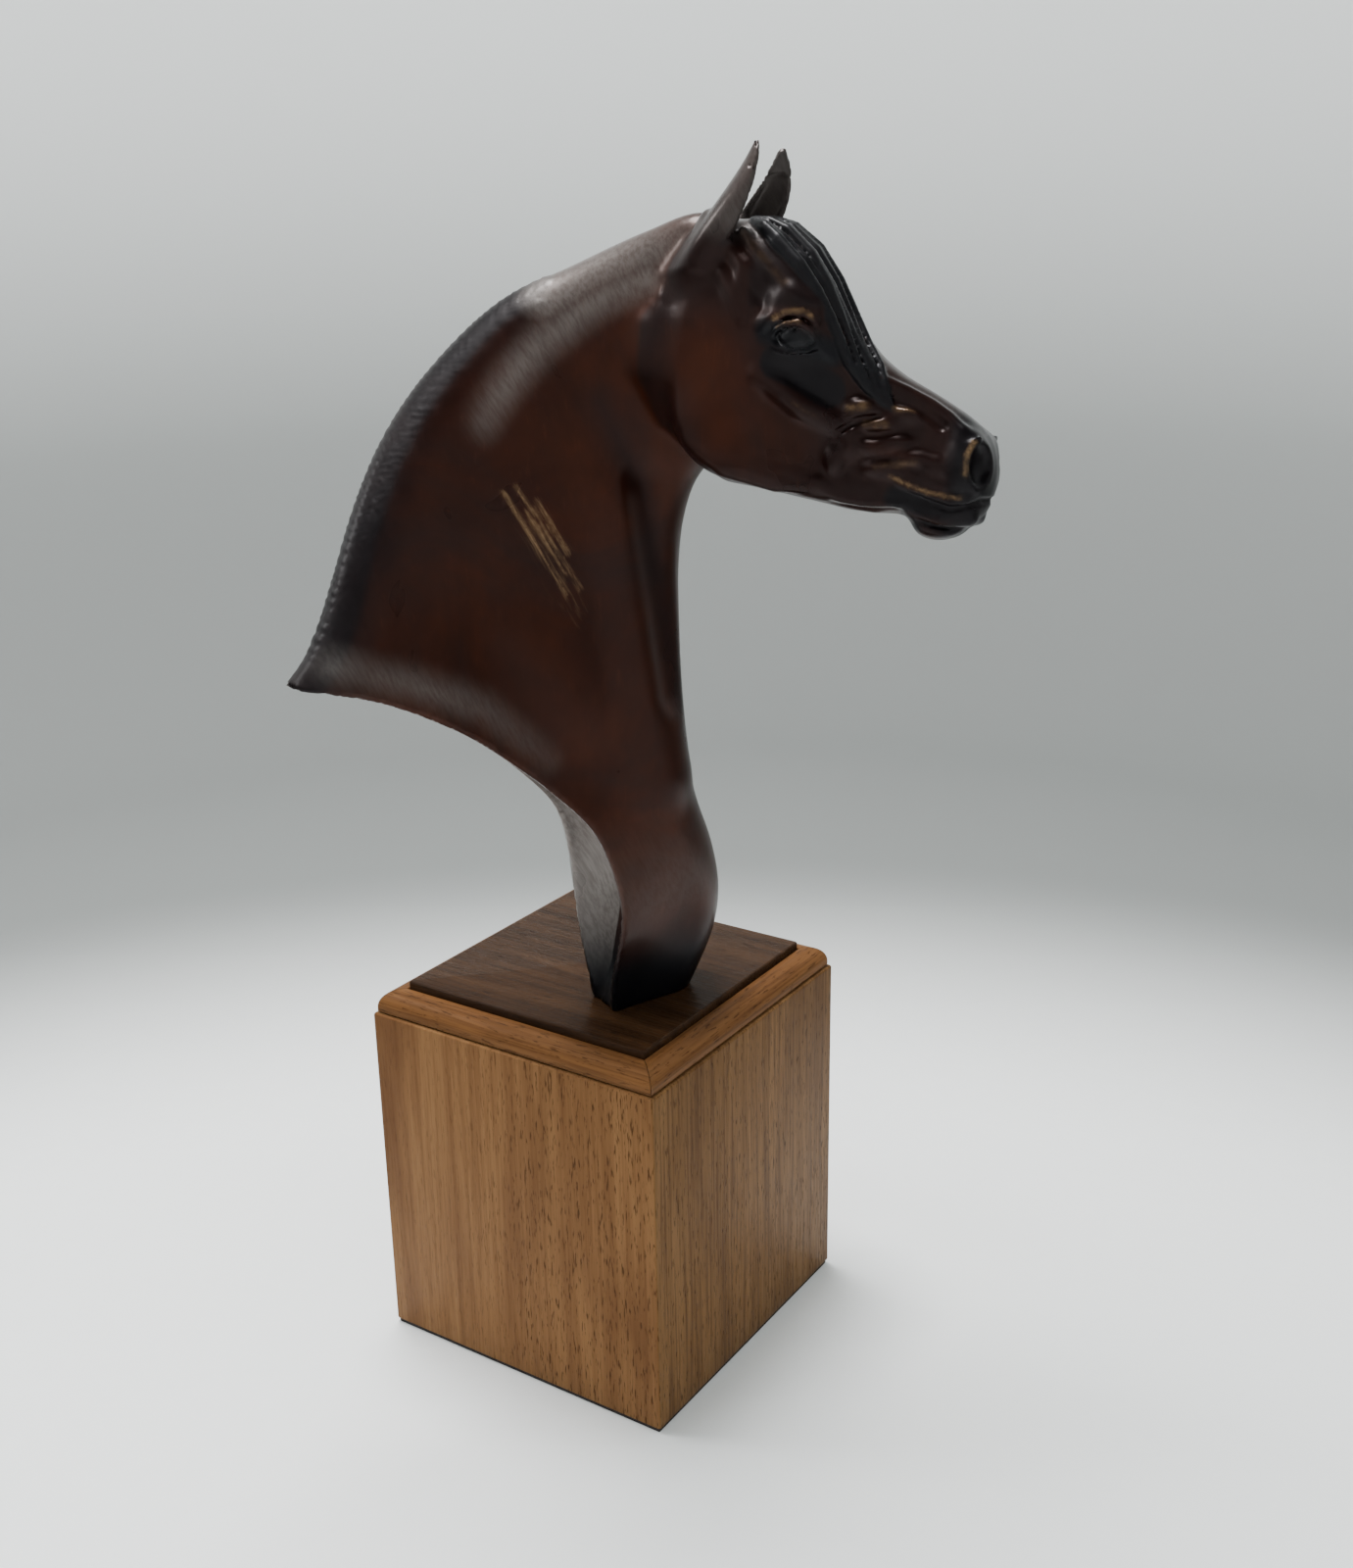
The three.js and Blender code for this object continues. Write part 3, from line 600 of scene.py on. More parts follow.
def padded(lines):
    spare = (-(len(lines) - 1)) % BLOCK
    step = lines[-1] - lines[-2]
    return np.concatenate([lines, lines[-1] + step * np.arange(1, spare + 1)])


def grid_points(axes):
    return np.stack(np.meshgrid(*axes, indexing="ij"), -1).reshape(-1, 3)


def block_cut(index):
    return tuple(slice(b * BLOCK, b * BLOCK + BLOCK + 1) for b in index)


def sample_field(field, axes):
    """The field at every grid place near its surface, and only its sign elsewhere."""
    values = np.empty([len(a) for a in axes], np.float32)
    blocks = [(len(a) - 1) // BLOCK for a in axes]
    middles = [0.5 * (a[:-1:BLOCK] + a[BLOCK::BLOCK]) for a in axes]
    halves = [0.5 * (a[BLOCK::BLOCK] - a[:-1:BLOCK]) for a in axes]
    centre = grid_points(middles)
    half = grid_points(halves)
    coarse = field(centre)
    reach = np.linalg.norm(half, axis=1) * 1.15 + 1.5
    close = []
    for n, index in enumerate(np.ndindex(*blocks)):
        if abs(coarse[n]) < reach[n]:
            close.append(index)
        else:
            values[block_cut(index)] = 1.0 if coarse[n] > 0 else -1.0
    for start in range(0, len(close), 400):
        batch = close[start:start + 400]
        cuts = [block_cut(index) for index in batch]
        places = [grid_points([a[c] for a, c in zip(axes, cut)]) for cut in cuts]
        found = field(np.concatenate(places)).reshape(len(batch), BLOCK + 1, BLOCK + 1, BLOCK + 1)
        for cut, block in zip(cuts, found):
            values[cut] = block
    return values


def settle(points, field, passes):
    """Move points along the field's slope onto its surface."""
    p = points.copy()
    for _ in range(passes):
        f = field(p)
        grad = slope(field, p, f, 0.03)
        size = np.sqrt((grad ** 2).sum(1)) + 1e-6
        move = np.clip(f / size, -0.6, 0.6) / size
        p -= grad * move[:, None]
    return p


def mesh_field(field, axes):
    """One vertex in each cell that the surface crosses, one face across each crossed grid edge."""
    values = sample_field(field, axes)
    inside = values < 0
    count = np.zeros([n - 1 for n in inside.shape], np.uint8)
    corners = [(c & 1, (c >> 1) & 1, (c >> 2) & 1) for c in range(8)]
    for a, b, c in corners:
        count += inside[a:inside.shape[0] - 1 + a, b:inside.shape[1] - 1 + b, c:inside.shape[2] - 1 + c]
    cells = np.argwhere((count > 0) & (count < 8))
    v = np.stack([values[cells[:, 0] + a, cells[:, 1] + b, cells[:, 2] + c] for a, b, c in corners], 1)
    total = np.zeros((len(cells), 3))
    crossings = np.zeros(len(cells))
    for a in range(8):
        for axis in range(3):
            b = a | (1 << axis)
            if a == b:
                continue
            crossed = (v[:, a] < 0) != (v[:, b] < 0)
            t = np.where(crossed, v[:, a] / np.where(crossed, v[:, a] - v[:, b], 1.0), 0.0)
            at = np.array(corners[a], float)[None, :].repeat(len(cells), 0)
            at[:, axis] += t
            total += at * crossed[:, None]
            crossings += crossed
    spot = cells + total / crossings[:, None]
    points = np.stack([np.interp(spot[:, m], np.arange(len(axes[m])), axes[m]) for m in range(3)], 1)
    points = settle(points, field, 2)
    number = np.full(count.shape, -1, np.int32)
    number[tuple(cells.T)] = np.arange(len(cells))
    quads = []
    for axis in range(3):
        u, w = (axis + 1) % 3, (axis + 2) % 3
        step = np.eye(3, dtype=int)
        first = [slice(1, -1)] * 3
        second = [slice(1, -1)] * 3
        second[axis] = slice(2, None)
        here, there = inside[tuple(first)], inside[tuple(second)]
        edges = np.argwhere(here != there) + 1
        around = [edges - a * step[u] - b * step[w] for a, b in ((0, 0), (1, 0), (1, 1), (0, 1))]
        ring = np.stack([number[tuple(cells_here.T)] for cells_here in around], 1)
        flip = ~inside[tuple(edges.T)]
        ring[flip] = ring[flip][:, ::-1]
        quads.append(ring)
    return points, np.concatenate(quads)


BUST_AXES = [
    padded(grid_lines(-93, 133, 38, 133, 1.4, 0.87)),
    padded(grid_lines(-110, 5, -90, -10, 1.4, 1.03)),
    padded(grid_lines(-2.5, 298, 172, 298, 1.45, 0.92)),
]


def row_frame(p):
    """From the bust's own frame to the row's, in metres."""
    c, s = math.cos(BUST_TURN), math.sin(BUST_TURN)
    return np.stack([p[:, 0] * c - p[:, 1] * s, p[:, 0] * s + p[:, 1] * c, p[:, 2] + PANEL_TOP], 1) * MM


def new_object(name, data):
    obj = bpy.data.objects.new(name, data)
    bpy.context.scene.collection.objects.link(obj)
    return obj


def mesh_object(name, points, faces, materials, cad_node):
    """A smooth piece that rides on the row's one body and stands for one CAD node."""
    mesh = bpy.data.meshes.new(name)
    mesh.from_pydata([tuple(p) for p in points], [], [tuple(int(v) for v in f) for f in faces])
    mesh.validate()
    mesh.polygons.foreach_set("use_smooth", [True] * len(mesh.polygons))
    for material in materials:
        mesh.materials.append(material)
    obj = new_object(name, mesh)
    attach(obj, "root")
    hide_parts(cad_node)
    return obj


def add_mask(obj, name, values):
    layer = obj.data.attributes.new(name, "FLOAT", "POINT")
    layer.data.foreach_set("value", np.asarray(values, np.float32))


# Patina masks, with painted light and shade among them, laid as soft strokes in the head's and the neck's
# own frames.

def stroke(p, points, radius, soft):
    """1 inside a rounded stroke through the points, falling to 0 over the soft width."""
    return ease(0.5 - line_distance(p, points, radius) / soft)


def strongest(p, strokes):
    """The strongest of several strokes: strength, radius, soft width, line."""
    out = np.zeros(len(p))
    for strength, radius, soft, line in strokes:
        out = np.maximum(out, strength * stroke(p, line, radius, soft))
    return out


def patina_masks(p):
    """How dark, grey, bare, hairy and glossy the bronze is at each point."""
    head, neck = in_head(p), straightened(p)
    side, flank = mirrored(head), mirrored(neck)
    on_head = fade(head_field(head) - neck_field(neck), 1.5, -1.5)
    band = NECK_PLATE.read(MANE_BAND, neck[:, 0], neck[:, 2]) * (1 - on_head)
    lock = forelock_mask(head)
    eyeball = fade(ellipsoid(side, EYE, EYE_RADII), 0.4, 0.1) * on_head
    body_dark = np.maximum(neck_darkness(flank, band) * (1 - on_head), face_darkness(side) * on_head)
    # Painted grey sheen on the top of the head, where the light falls from above.
    poll = 0.25 * on_head * fade(side[:, 2], 262, 272) * (1 - lock)
    return {
        # The foot darkens towards the panel: painted shade and a painted reflection of the dark plinth.
        "dark": np.maximum.reduce([body_dark, fade(p[:, 2], 42, 14), lock]),
        "grey": np.maximum(painted_neck_sheen(p, neck, flank, on_head), poll),
        "gold": tool_marks(neck),
        "rub": strongest(side, WORN_EDGES) * (head[:, 1] < 2) * on_head,
        "hair": np.maximum(band, lock),
        "gloss": np.maximum(0.6 * eyeball, 0.3 * lock),
    }


def neck_darkness(flank, band):
    """The mane and the skin beside it, and painted shade in the groove of the neck and the hollow behind
    the cheek.
    """
    from_crest = NECK_PLATE.read(FROM_CREST, flank[:, 0], flank[:, 2])
    beside_mane = 0.9 * fade(from_crest, 10.5, 4.5) * (band > 0.02)
    high_crest = 0.5 * fade(from_crest, 18, 6) * fade(flank[:, 0], -18, -34)
    # Painted shade in the neck's groove and in the hollow behind the cheek.
    groove_shade = strongest(flank, [
        (0.6, 4, 9, [(2, 12, 214), (4, 14, 170), (8, 14, 120), (14, 12, 84)]),
        (0.7, 5, 16, [(-8, 16, 216), (2, 16, 192)]),
    ])
    return np.maximum.reduce([beside_mane, 0.6 * band, high_crest, groove_shade])


def painted_neck_sheen(p, neck, flank, on_head):
    """Painted grey sheen and reflections: painted highlights behind the ears, along the crest, at the
    withers and on the breast, and a painted reflection in the trough.
    """
    behind_ears = 0.84 * stroke(flank, [(24, 0, 264), (-2, 3, 258), (-24, 5, 248)], 8, 10)
    sheen = [(-50, 14, 212), (-41, 15, 222), (-27, 14, 235), (-9, 12, 247), (10, 10, 255)]
    # Painted highlight along the crest.
    crest = 0.55 * stroke(flank, sheen, 4, 13) * fade(neck[:, 0], -66, -38)
    withers = 0.46 * stroke(flank, [(-116, 8, 146), (-92, 12, 137), (-66, 16, 124), (-44, 20, 102)], 3, 14)
    breast = 0.12 * fade(p[:, 2], 84, 50) * fade(p[:, 2], 28, 50)
    # Painted reflection of the pale floor inside the open back.
    trough = 0.9 * fade(np.abs(trough_field(neck)), 1.4, 0.4) * fade(neck[:, 2], 6, 40) * (neck[:, 1] > 2)
    return np.maximum.reduce([np.maximum(behind_ears, crest) * (1 - on_head), withers, breast, trough])


def forelock_mask(head):
    lock = np.zeros(len(head))
    close = np.flatnonzero(near(head, (40, -17, 214), (100, 10, 276), 2))
    for line, size in STRANDS:
        lock[close] = np.maximum(lock[close], stroke(head[close], line, size + 0.3, 0.6))
    return lock


def face_darkness(side):
    """Darkest about the eye, the muzzle, under the jaw and inside the ears; the cheek stays brown."""
    face = 0.60 - 0.58 * stroke(side, [(34, 14, 232), (46, 16, 210), (60, 12, 204)], 11, 15)
    face = np.minimum(face, 1 - 0.72 * stroke(side, [(17, 8, 246), (18, 9, 222)], 6, 12))
    shaded = strongest(side, [
        (1.0, 6, 7, [(57, 17, 238), (66, 18, 235), (76, 14, 232)]),
        (0.95, 6, 3, [(60, 17, 229), (70, 16, 225), (76, 14, 221)]),
        (0.9, 1.5, 4, [(92, 9, 188), (80, 10, 188), (56, 10, 189), (38, 12, 197)]),
        (0.95, 5, 5, [(98, 9, 190), (122, 8, 186)]),
        (0.95, 5, 4, [(102, 5, 184), (116, 4, 181)]),
    ])
    muzzle_dark = 0.95 * fade(side[:, 0], 104, 118)
    brow_dark = 0.8 * fade(side[:, 2], 238, 247) * fade(side[:, 0], 42, 52)
    face = np.maximum.reduce([face, shaded, muzzle_dark, brow_dark])
    face = np.minimum(face, 1 - 0.75 * stroke(side, [(90, 12, 205), (104, 10, 202)], 2.5, 7))
    face = np.minimum(face, 1 - 0.55 * stroke(side, [(82, 13, 216), (96, 9, 218)], 2.0, 6))
    return np.maximum(face, ear_shade(side))


def ear_shade(p):
    """The inside of an ear and its front edge are dark."""
    out = np.zeros(len(p))
    picked = np.flatnonzero(near(p, (22, 0, 256), (60, 24, 297), 0))
    if len(picked):
        t, across, forward, wide, back = ear_section(p[picked])
        inside = fade(np.hypot(across / wide, forward / back), 0.97, 0.80)
        shade = np.maximum(inside, fade(forward / back, -0.55, -0.25))
        out[picked] = 0.75 * shade * fade(p[picked, 2], 258, 264)
    return out


BRUSH_STROKES = 7


def tool_marks(neck):
    """A patch across the middle of the near side, brushed through to bare metal."""
    flat = neck * (1, 0, 1)
    gold = 0.34 * stroke(flat, [(-40, 0, 182), (-26, 0, 150)], 5, 9)
    for n in range(BRUSH_STROKES):
        x = -46 + 2.3 * n
        z = 190 - 1.2 * n - 4 * math.sin(2.3 * n)
        run = 14 - 1.0 * n + 3 * math.sin(1.7 * n + 1)
        shine = 0.80 + 0.12 * math.sin(2.9 * n + 0.6)
        line = [(x, 0, z), (x + run, 0, z - 2.0 * run)]
        gold = np.maximum(gold, shine * stroke(flat, line, 1.1, 4.0))
    return gold * (neck[:, 1] < 0)


# Edges rubbed back to bare metal: lid fold, nostril rim, lip, swellings, cheekbone and temple.
WORN_EDGES = [
    (0.80, 0.6, 1.1, [(59.5, 19.8, 241.6), (63.9, 20, 244), (68.4, 19.4, 244), (70.9, 18.4, 242.6)]),
    (0.30, 0.4, 0.8, [(60.5, 19.6, 239.4), (64, 20.8, 241), (68, 20.6, 241.2)]),
    (0.85, 0.7, 1.3, [(122, 11.2, 208), (120, 11.8, 204), (119.8, 11.9, 198.4)]),
    (0.60, 0.4, 1.0, [(96, 11, 196.4), (103.6, 11.2, 193.6), (109.2, 11, 192), (118, 10.6, 191),
                      (121.6, 9, 194)]),
    (0.45, 0.8, 2.4, [(83, 13.6, 216), (88, 13.4, 217)]),
    (0.45, 0.8, 2.4, [(97, 10.8, 216.4), (102, 10.2, 216.4)]),
    (0.30, 0.8, 2.4, [(88, 13, 211.6), (94, 12.4, 211.6)]),
    (0.20, 0.6, 2.0, [(92, 12.4, 199), (99, 11.6, 200), (104, 11.4, 201)]),
    (0.28, 0.3, 1.1, [(57, 17.6, 222.8), (62, 17.9, 219.8), (68, 17.6, 216), (74, 16, 213)]),
    (0.08, 1.0, 2.4, [(46, 14.6, 267), (54, 16, 259), (62, 18, 252)]),
]


class Nodes:
    """A few short calls for building one material's node tree."""

    def __init__(self, name):
        self.material = bpy.data.materials.new(name)
        self.material.use_nodes = True
        self.tree = self.material.node_tree
        self.surface = self.tree.nodes["Principled BSDF"]

    def put(self, socket, value):
        if isinstance(value, bpy.types.NodeSocket):
            self.tree.links.new(value, socket)
        else:
            socket.default_value = value

    def set(self, **values):
        for name, value in values.items():
            self.put(self.surface.inputs[name.replace("_", " ").title().replace("Ior", "IOR")], value)

    def add(self, kind, **inputs):
        """A node of one kind, with its inputs set or linked by name."""
        node = self.tree.nodes.new("ShaderNode" + kind)
        for name, value in inputs.items():
            self.put(node.inputs[name.replace("_", " ").title()], value)
        return node

    def place(self):
        return self.add("TexCoord").outputs["Object"]

    def mask(self, name):
        node = self.add("Attribute")
        node.attribute_name = name
        return node.outputs["Fac"]

    def stretch(self, vector, scale, turn=(0, 0, 0), shift=(0, 0, 0)):
        node = self.add("Mapping", vector=vector, scale=scale, rotation=turn, location=shift)
        return node.outputs["Vector"]

    def noise(self, vector, scale, detail, rough, twist=0.0):
        node = self.add("TexNoise", vector=vector, scale=scale, detail=detail, roughness=rough)
        node.inputs["Distortion"].default_value = twist
        return node.outputs["Fac"]

    def math(self, operation, a, b=0.0, clamp=False):
        node = self.add("Math")
        node.operation = operation
        node.use_clamp = clamp
        self.put(node.inputs[0], a)
        self.put(node.inputs[1], b)
        return node.outputs[0]

    def times(self, a, b, clamp=False):
        return self.math("MULTIPLY", a, b, clamp)

    def linear(self, value, factor, offset):
        result = self.math("MULTIPLY_ADD", value, factor)
        result.node.inputs[2].default_value = offset
        return result

    def parts(self, vector):
        return self.add("SeparateXYZ", vector=vector).outputs

    def spread(self, value, low, high, out_low=0.0, out_high=1.0):
        node = self.add("MapRange", value=value, from_min=low, from_max=high)
        node.inputs["To Min"].default_value = out_low
        node.inputs["To Max"].default_value = out_high
        node.interpolation_type = "SMOOTHSTEP"
        return node.outputs["Result"]

    def mix(self, factor, a, b):
        node = self.add("Mix")
        node.data_type = "RGBA"
        self.put(node.inputs[0], factor)
        self.put(node.inputs[6], a if isinstance(a, bpy.types.NodeSocket) else (*a, 1.0))
        self.put(node.inputs[7], b if isinstance(b, bpy.types.NodeSocket) else (*b, 1.0))
        return node.outputs[2]

    def bump(self, height, strength, distance):
        node = self.add("Bump", height=height, strength=strength, distance=distance)
        return node.outputs["Normal"]


# Bronze colours.
BROWN_DEEP = (0.0150, 0.0029, 0.0007)
BROWN_LIGHT = (0.033, 0.0070, 0.0016)
BROWN_BRUSHED = (0.062, 0.017, 0.006)
BROWN_SMOKY = (0.0105, 0.0052, 0.0048)
BLACK_DEEP = (0.0018, 0.0022, 0.0034)
BLACK_LIGHT = (0.0045, 0.0040, 0.0050)
# The grey of the painted sheen and reflections.
SHEEN_GREY = (0.17, 0.152, 0.142)
BARE_METAL = (0.25, 0.155, 0.08)


def bronze():
    """Clouded brown patina under black patina and painted shade, painted grey sheen and reflections broken
    up by scuffs, and bare rubbed metal.
    """
    n = Nodes("bronze_patina")
    place = n.place()
    clouds = n.noise(n.stretch(place, (22, 22, 16)), 1.0, 4, 0.6, 0.4)
    brushed = n.noise(n.stretch(place, (500, 500, 60), (0.35, 0.5, 0)), 1.0, 3, 0.6)
    slanted = n.stretch(n.stretch(place, (1, 1, 1), (0, 0, -0.58)), (1, 1, 1), (0, 0.50, 0))
    scuffs = n.noise(n.stretch(slanted, (800, 800, 60)), 1.0, 3, 0.65)
    smoke = n.noise(n.stretch(place, (15, 15, 11)), 1.0, 5, 0.62, 0.9)
    specks = n.noise(place, 420, 2, 0.5)
    brown = n.mix(n.spread(clouds, 0.3, 0.7), BROWN_DEEP, BROWN_LIGHT)
    brown = n.mix(n.spread(brushed, 0.55, 0.9, 0, 0.35), brown, BROWN_BRUSHED)
    brown = n.mix(n.spread(smoke, 0.42, 0.72, 0, 0.75), brown, BROWN_SMOKY)
    black = n.mix(n.spread(clouds, 0.3, 0.7), BLACK_DEEP, BLACK_LIGHT)
    # The dark mask is black patina, with painted shade in the neck's groove and at the foot.
    dark = n.times(n.mask("dark"), n.spread(clouds, 0.1, 0.55, 0.75, 1.0), True)
    colour = n.mix(dark, brown, black)
    # Painted grey sheen and painted reflections, broken up by the scuffs.
    grey = n.times(n.mask("grey"), n.spread(scuffs, 0.3, 0.66, 0.65, 1.0))
    colour = n.mix(grey, colour, SHEEN_GREY)
    worn = n.spread(n.math("ADD", n.mask("gold"), n.times(scuffs, 1.6)), 1.05, 1.95)
    worn = n.times(worn, n.times(n.mask("gold"), 1.1, True), True)
    rubbed = n.times(n.mask("rub"), n.spread(specks, 0.35, 0.6, 0.35, 1.0))
    worn = n.math("MAXIMUM", worn, rubbed)
    colour = n.mix(worn, colour, BARE_METAL)
    rough = n.math("ADD", n.spread(clouds, 0.2, 0.8, 0.24, 0.38), n.times(n.mask("hair"), 0.14))
    rough = n.math("SUBTRACT", rough, n.times(n.mask("gloss"), 0.18))
    height = n.math("ADD", n.times(brushed, 0.7), n.times(specks, 0.4))
    n.set(base_color=colour, metallic=n.linear(worn, 0.6, 0.35), roughness=rough)
    n.set(normal=n.bump(height, 0.10, 0.0004), specular_ior_level=n.linear(n.mask("gloss"), 0.10, 0.12))
    n.set(coat_weight=0.03, coat_roughness=0.10)
    return n.material


# Walnut colours: light, middle and dark.
LEFT_WALNUT = ((0.196, 0.099, 0.039), (0.132, 0.061, 0.023), (0.080, 0.032, 0.011))
RIGHT_WALNUT = ((0.165, 0.087, 0.034), (0.113, 0.056, 0.020), (0.068, 0.031, 0.0115))
PANEL_WALNUT = ((0.046, 0.022, 0.010), (0.026, 0.012, 0.0055), (0.011, 0.006, 0.004))
MOULDING_WALNUT = ((0.160, 0.072, 0.026), (0.110, 0.047, 0.016), (0.050, 0.021, 0.008))


def walnut(name, grain, colours, pores, lines, shift=(0, 0, 0), gloss=0.42, calm=None):
    """Walnut with its grain along one axis (0, 1 or 2); calm is a span on X where the pores fade out."""
    n = Nodes(name)
    bare = n.place()
    place = n.stretch(bare, (1, 1, 1), (0, 0, 0), shift)
    light, middle, dark = colours

    def along(cross, length):
        return tuple(length if axis == grain else cross for axis in range(3))

    wander = n.noise(n.stretch(place, along(26, 9)), 1.0, 3, 0.5, 0.6)
    streaks = n.noise(n.stretch(place, along(170, 8)), 1.0, 4, 0.6, 0.6)
    fibre = n.noise(n.stretch(place, along(1500, 60)), 1.0, 3, 0.6)
    ruled = n.noise(n.stretch(place, along(760, 16)), 1.0, 2, 0.5, 0.2)
    pore = n.noise(n.stretch(place, along(1500, 190)), 1.0, 2, 0.5, 0.35)
    colour = n.mix(n.spread(streaks, 0.30, 0.70), light, middle)
    colour = n.mix(n.spread(wander, 0.45, 0.85, 0, 0.75), colour, dark)
    colour = n.mix(n.spread(fibre, 0.40, 0.80, 0, 0.30), colour, dark)
    colour = n.mix(n.spread(ruled, 0.48, 0.66, 0, lines), colour, dark)
    dashes = n.spread(pore, 0.60 - 0.05 * pores, 0.69, 0, 0.55 + 0.3 * pores)
    if calm:
        dashes = n.times(dashes, n.spread(n.parts(bare)[0], calm[0], calm[1], 0.3, 1.0))
    colour = n.mix(dashes, colour, tuple(0.45 * c for c in dark))
    rough = n.spread(fibre, 0.2, 0.8, gloss - 0.05, gloss + 0.08)
    rough = n.math("ADD", rough, n.times(dashes, 0.12))
    height = n.math("SUBTRACT", n.times(fibre, 0.25), dashes)
    n.set(base_color=colour, roughness=rough, normal=n.bump(height, 0.25, 0.00025))
    n.set(specular_ior_level=0.2, ior=1.2)
    return n.material


def felt():
    n = Nodes("dark_felt")
    place = n.place()
    fuzz = n.noise(place, 900, 4, 0.7)
    colour = n.mix(fuzz, (0.006, 0.005, 0.005), (0.022, 0.018, 0.016))
    n.set(base_color=colour, roughness=0.95, normal=n.bump(fuzz, 0.5, 0.0006))
    return n.material


def build_bust():
    points, quads = mesh_field(bust_field, BUST_AXES)
    bust = mesh_object("bronze_bust", row_frame(points), quads, [bronze()], "horse_bust")
    for name, values in patina_masks(points).items():
        add_mask(bust, name, values)


def crisp_edges(obj):
    """Round parts stay smooth and flats meet in crisp edges."""
    obj.data.set_sharp_from_angle(angle=math.radians(30))


def corner_ring(half, arris, steps):
    """A square with rounded corners, as points."""
    ring = []
    for quarter, (sx, sy) in enumerate([(1, -1), (1, 1), (-1, 1), (-1, -1)]):
        for k in range(steps + 1):
            a = math.pi / 2 * (quarter + k / steps) - math.pi / 2
            x = sx * (half - arris) + arris * math.cos(a)
            y = sy * (half - arris) + arris * math.sin(a)
            ring.append((x, y))
    return ring


def ring_faces(rings, count, turned=False):
    """Four-sided faces that join rings of points one after the other."""
    faces = []
    for ring in range(rings - 1):
        for k in range(count):
            a, b = ring * count + k, ring * count + (k + 1) % count
            faces.append((a, a + count, b + count, b) if turned else (a, b, b + count, a + count))
    return faces


def slab_mesh(half, low, high, arris):
    """A square slab with a softened bottom edge, a rounded top edge and rounded corners."""
    steps = 4
    soft = 0.5 * arris
    levels = [(low, soft), (low + 0.3 * soft, 0.3 * soft), (low + soft, 0.0)]
    for k in range(steps + 1):
        a = math.pi / 2 * k / steps
        levels.append((high - arris * (1 - math.sin(a)), arris * (1 - math.cos(a))))
    points = []
    for z, inset in levels:
        for x, y in corner_ring(half, arris, steps):
            points.append((x - math.copysign(inset, x), y - math.copysign(inset, y), z))
    count = 4 * (steps + 1)
    faces = ring_faces(len(levels), count)
    faces.append(tuple(reversed(range(count))))
    faces.append(tuple(range((len(levels) - 1) * count, len(levels) * count)))
    return np.array(points) * MM, faces


def moulding_mesh(quarter):
    """One mitred bullnose strip along the -Y side, turned into place."""
    outer = PLINTH_SIDE / 2 - MOULDING_INSET
    inner = PLINTH_SIDE / 2 - PANEL_INSET + PIECE_GAP
    low, steps, soft = BOX_TOP + PIECE_GAP, 10, 0.35
    profile = [(inner, low), (outer - soft, low), (outer, low + soft)]
    profile.append((outer, MOULDING_TOP - MOULDING_ROUND))
    for k in range(1, steps + 1):
        a = math.pi / 2 * k / steps
        out = outer - MOULDING_ROUND * (1 - math.cos(a))
        profile.append((out, MOULDING_TOP - MOULDING_ROUND * (1 - math.sin(a))))
    profile += [(inner + soft, MOULDING_TOP), (inner, MOULDING_TOP - soft)]
    joint = PIECE_GAP / 2
    stations = 9
    points = []
    for k in range(stations):
        share = -1 + 2 * k / (stations - 1)
        for out, z in profile:
            points.append((share * (out - joint), -out, z))
    count = len(profile)
    faces = ring_faces(stations, count, turned=True)
    faces.append(tuple(range(count)))
    faces.append(tuple(reversed(range((stations - 1) * count, stations * count))))
    turn = np.array(Matrix.Rotation(quarter * math.pi / 2, 3, "Z"))
    return (np.array(points) @ turn.T) * MM, faces


def build_box():
    """The veneered box: one veneer on the faces across X, the other on the rest."""
    left = walnut("veneer_left", 2, LEFT_WALNUT, 1.0, 0.25, calm=(-0.03, 0.02))
    right = walnut("veneer_right", 2, RIGHT_WALNUT, 0.6, 0.7, shift=(0.3, 0.11, 0.2))
    points, faces = slab_mesh(PLINTH_SIDE / 2, FELT_TOP + PIECE_GAP, BOX_TOP, BOX_ARRIS)
    box = mesh_object("veneered_box", points, faces, [left, right], "plinth_box")
    for face in box.data.polygons:
        face.material_index = int(abs(face.normal.x) > abs(face.normal.y))
    crisp_edges(box)


def build_panel():
    grain = walnut("panel_grain", 0, PANEL_WALNUT, 0.2, 0.4, shift=(0.07, 0.4, 0), gloss=0.26)
    half = PLINTH_SIDE / 2 - PANEL_INSET
    points, faces = slab_mesh(half, BOX_TOP + PIECE_GAP, PANEL_TOP, PANEL_ARRIS)
    crisp_edges(mesh_object("raised_panel", points, faces, [grain], "top_panel"))


def build_mouldings():
    for quarter, side in enumerate(("front_left", "front_right", "back_right", "back_left")):
        shift = (0.13 * quarter, 0.07 * quarter, 0)
        wood = walnut(f"moulding_grain_{side}", quarter % 2, MOULDING_WALNUT, 0.3, 0.5, shift, 0.33)
        points, faces = moulding_mesh(quarter)
        name = f"bullnose_{side}"
        crisp_edges(mesh_object(name, points, faces, [wood], f"moulding_{side}"))


def build_felt():
    """The pad stands almost as far out as the box, so it shows as a thin black line under it."""
    points, faces = slab_mesh(PLINTH_SIDE / 2 - FELT_SHOWN_INSET, 0, FELT_TOP, FELT_ARRIS)
    mesh_object("dark_felt_pad", points, faces, [felt()], "felt_pad")


# The stage and the lights, in metres.
FLOOR_RADIUS = 0.72
FLOOR_CURVE = 0.22
WALL_TOP = 1.3
# Centre of the pool of light painted on the floor.
LIGHT_POOL_CENTRE = (0.20, -0.30)


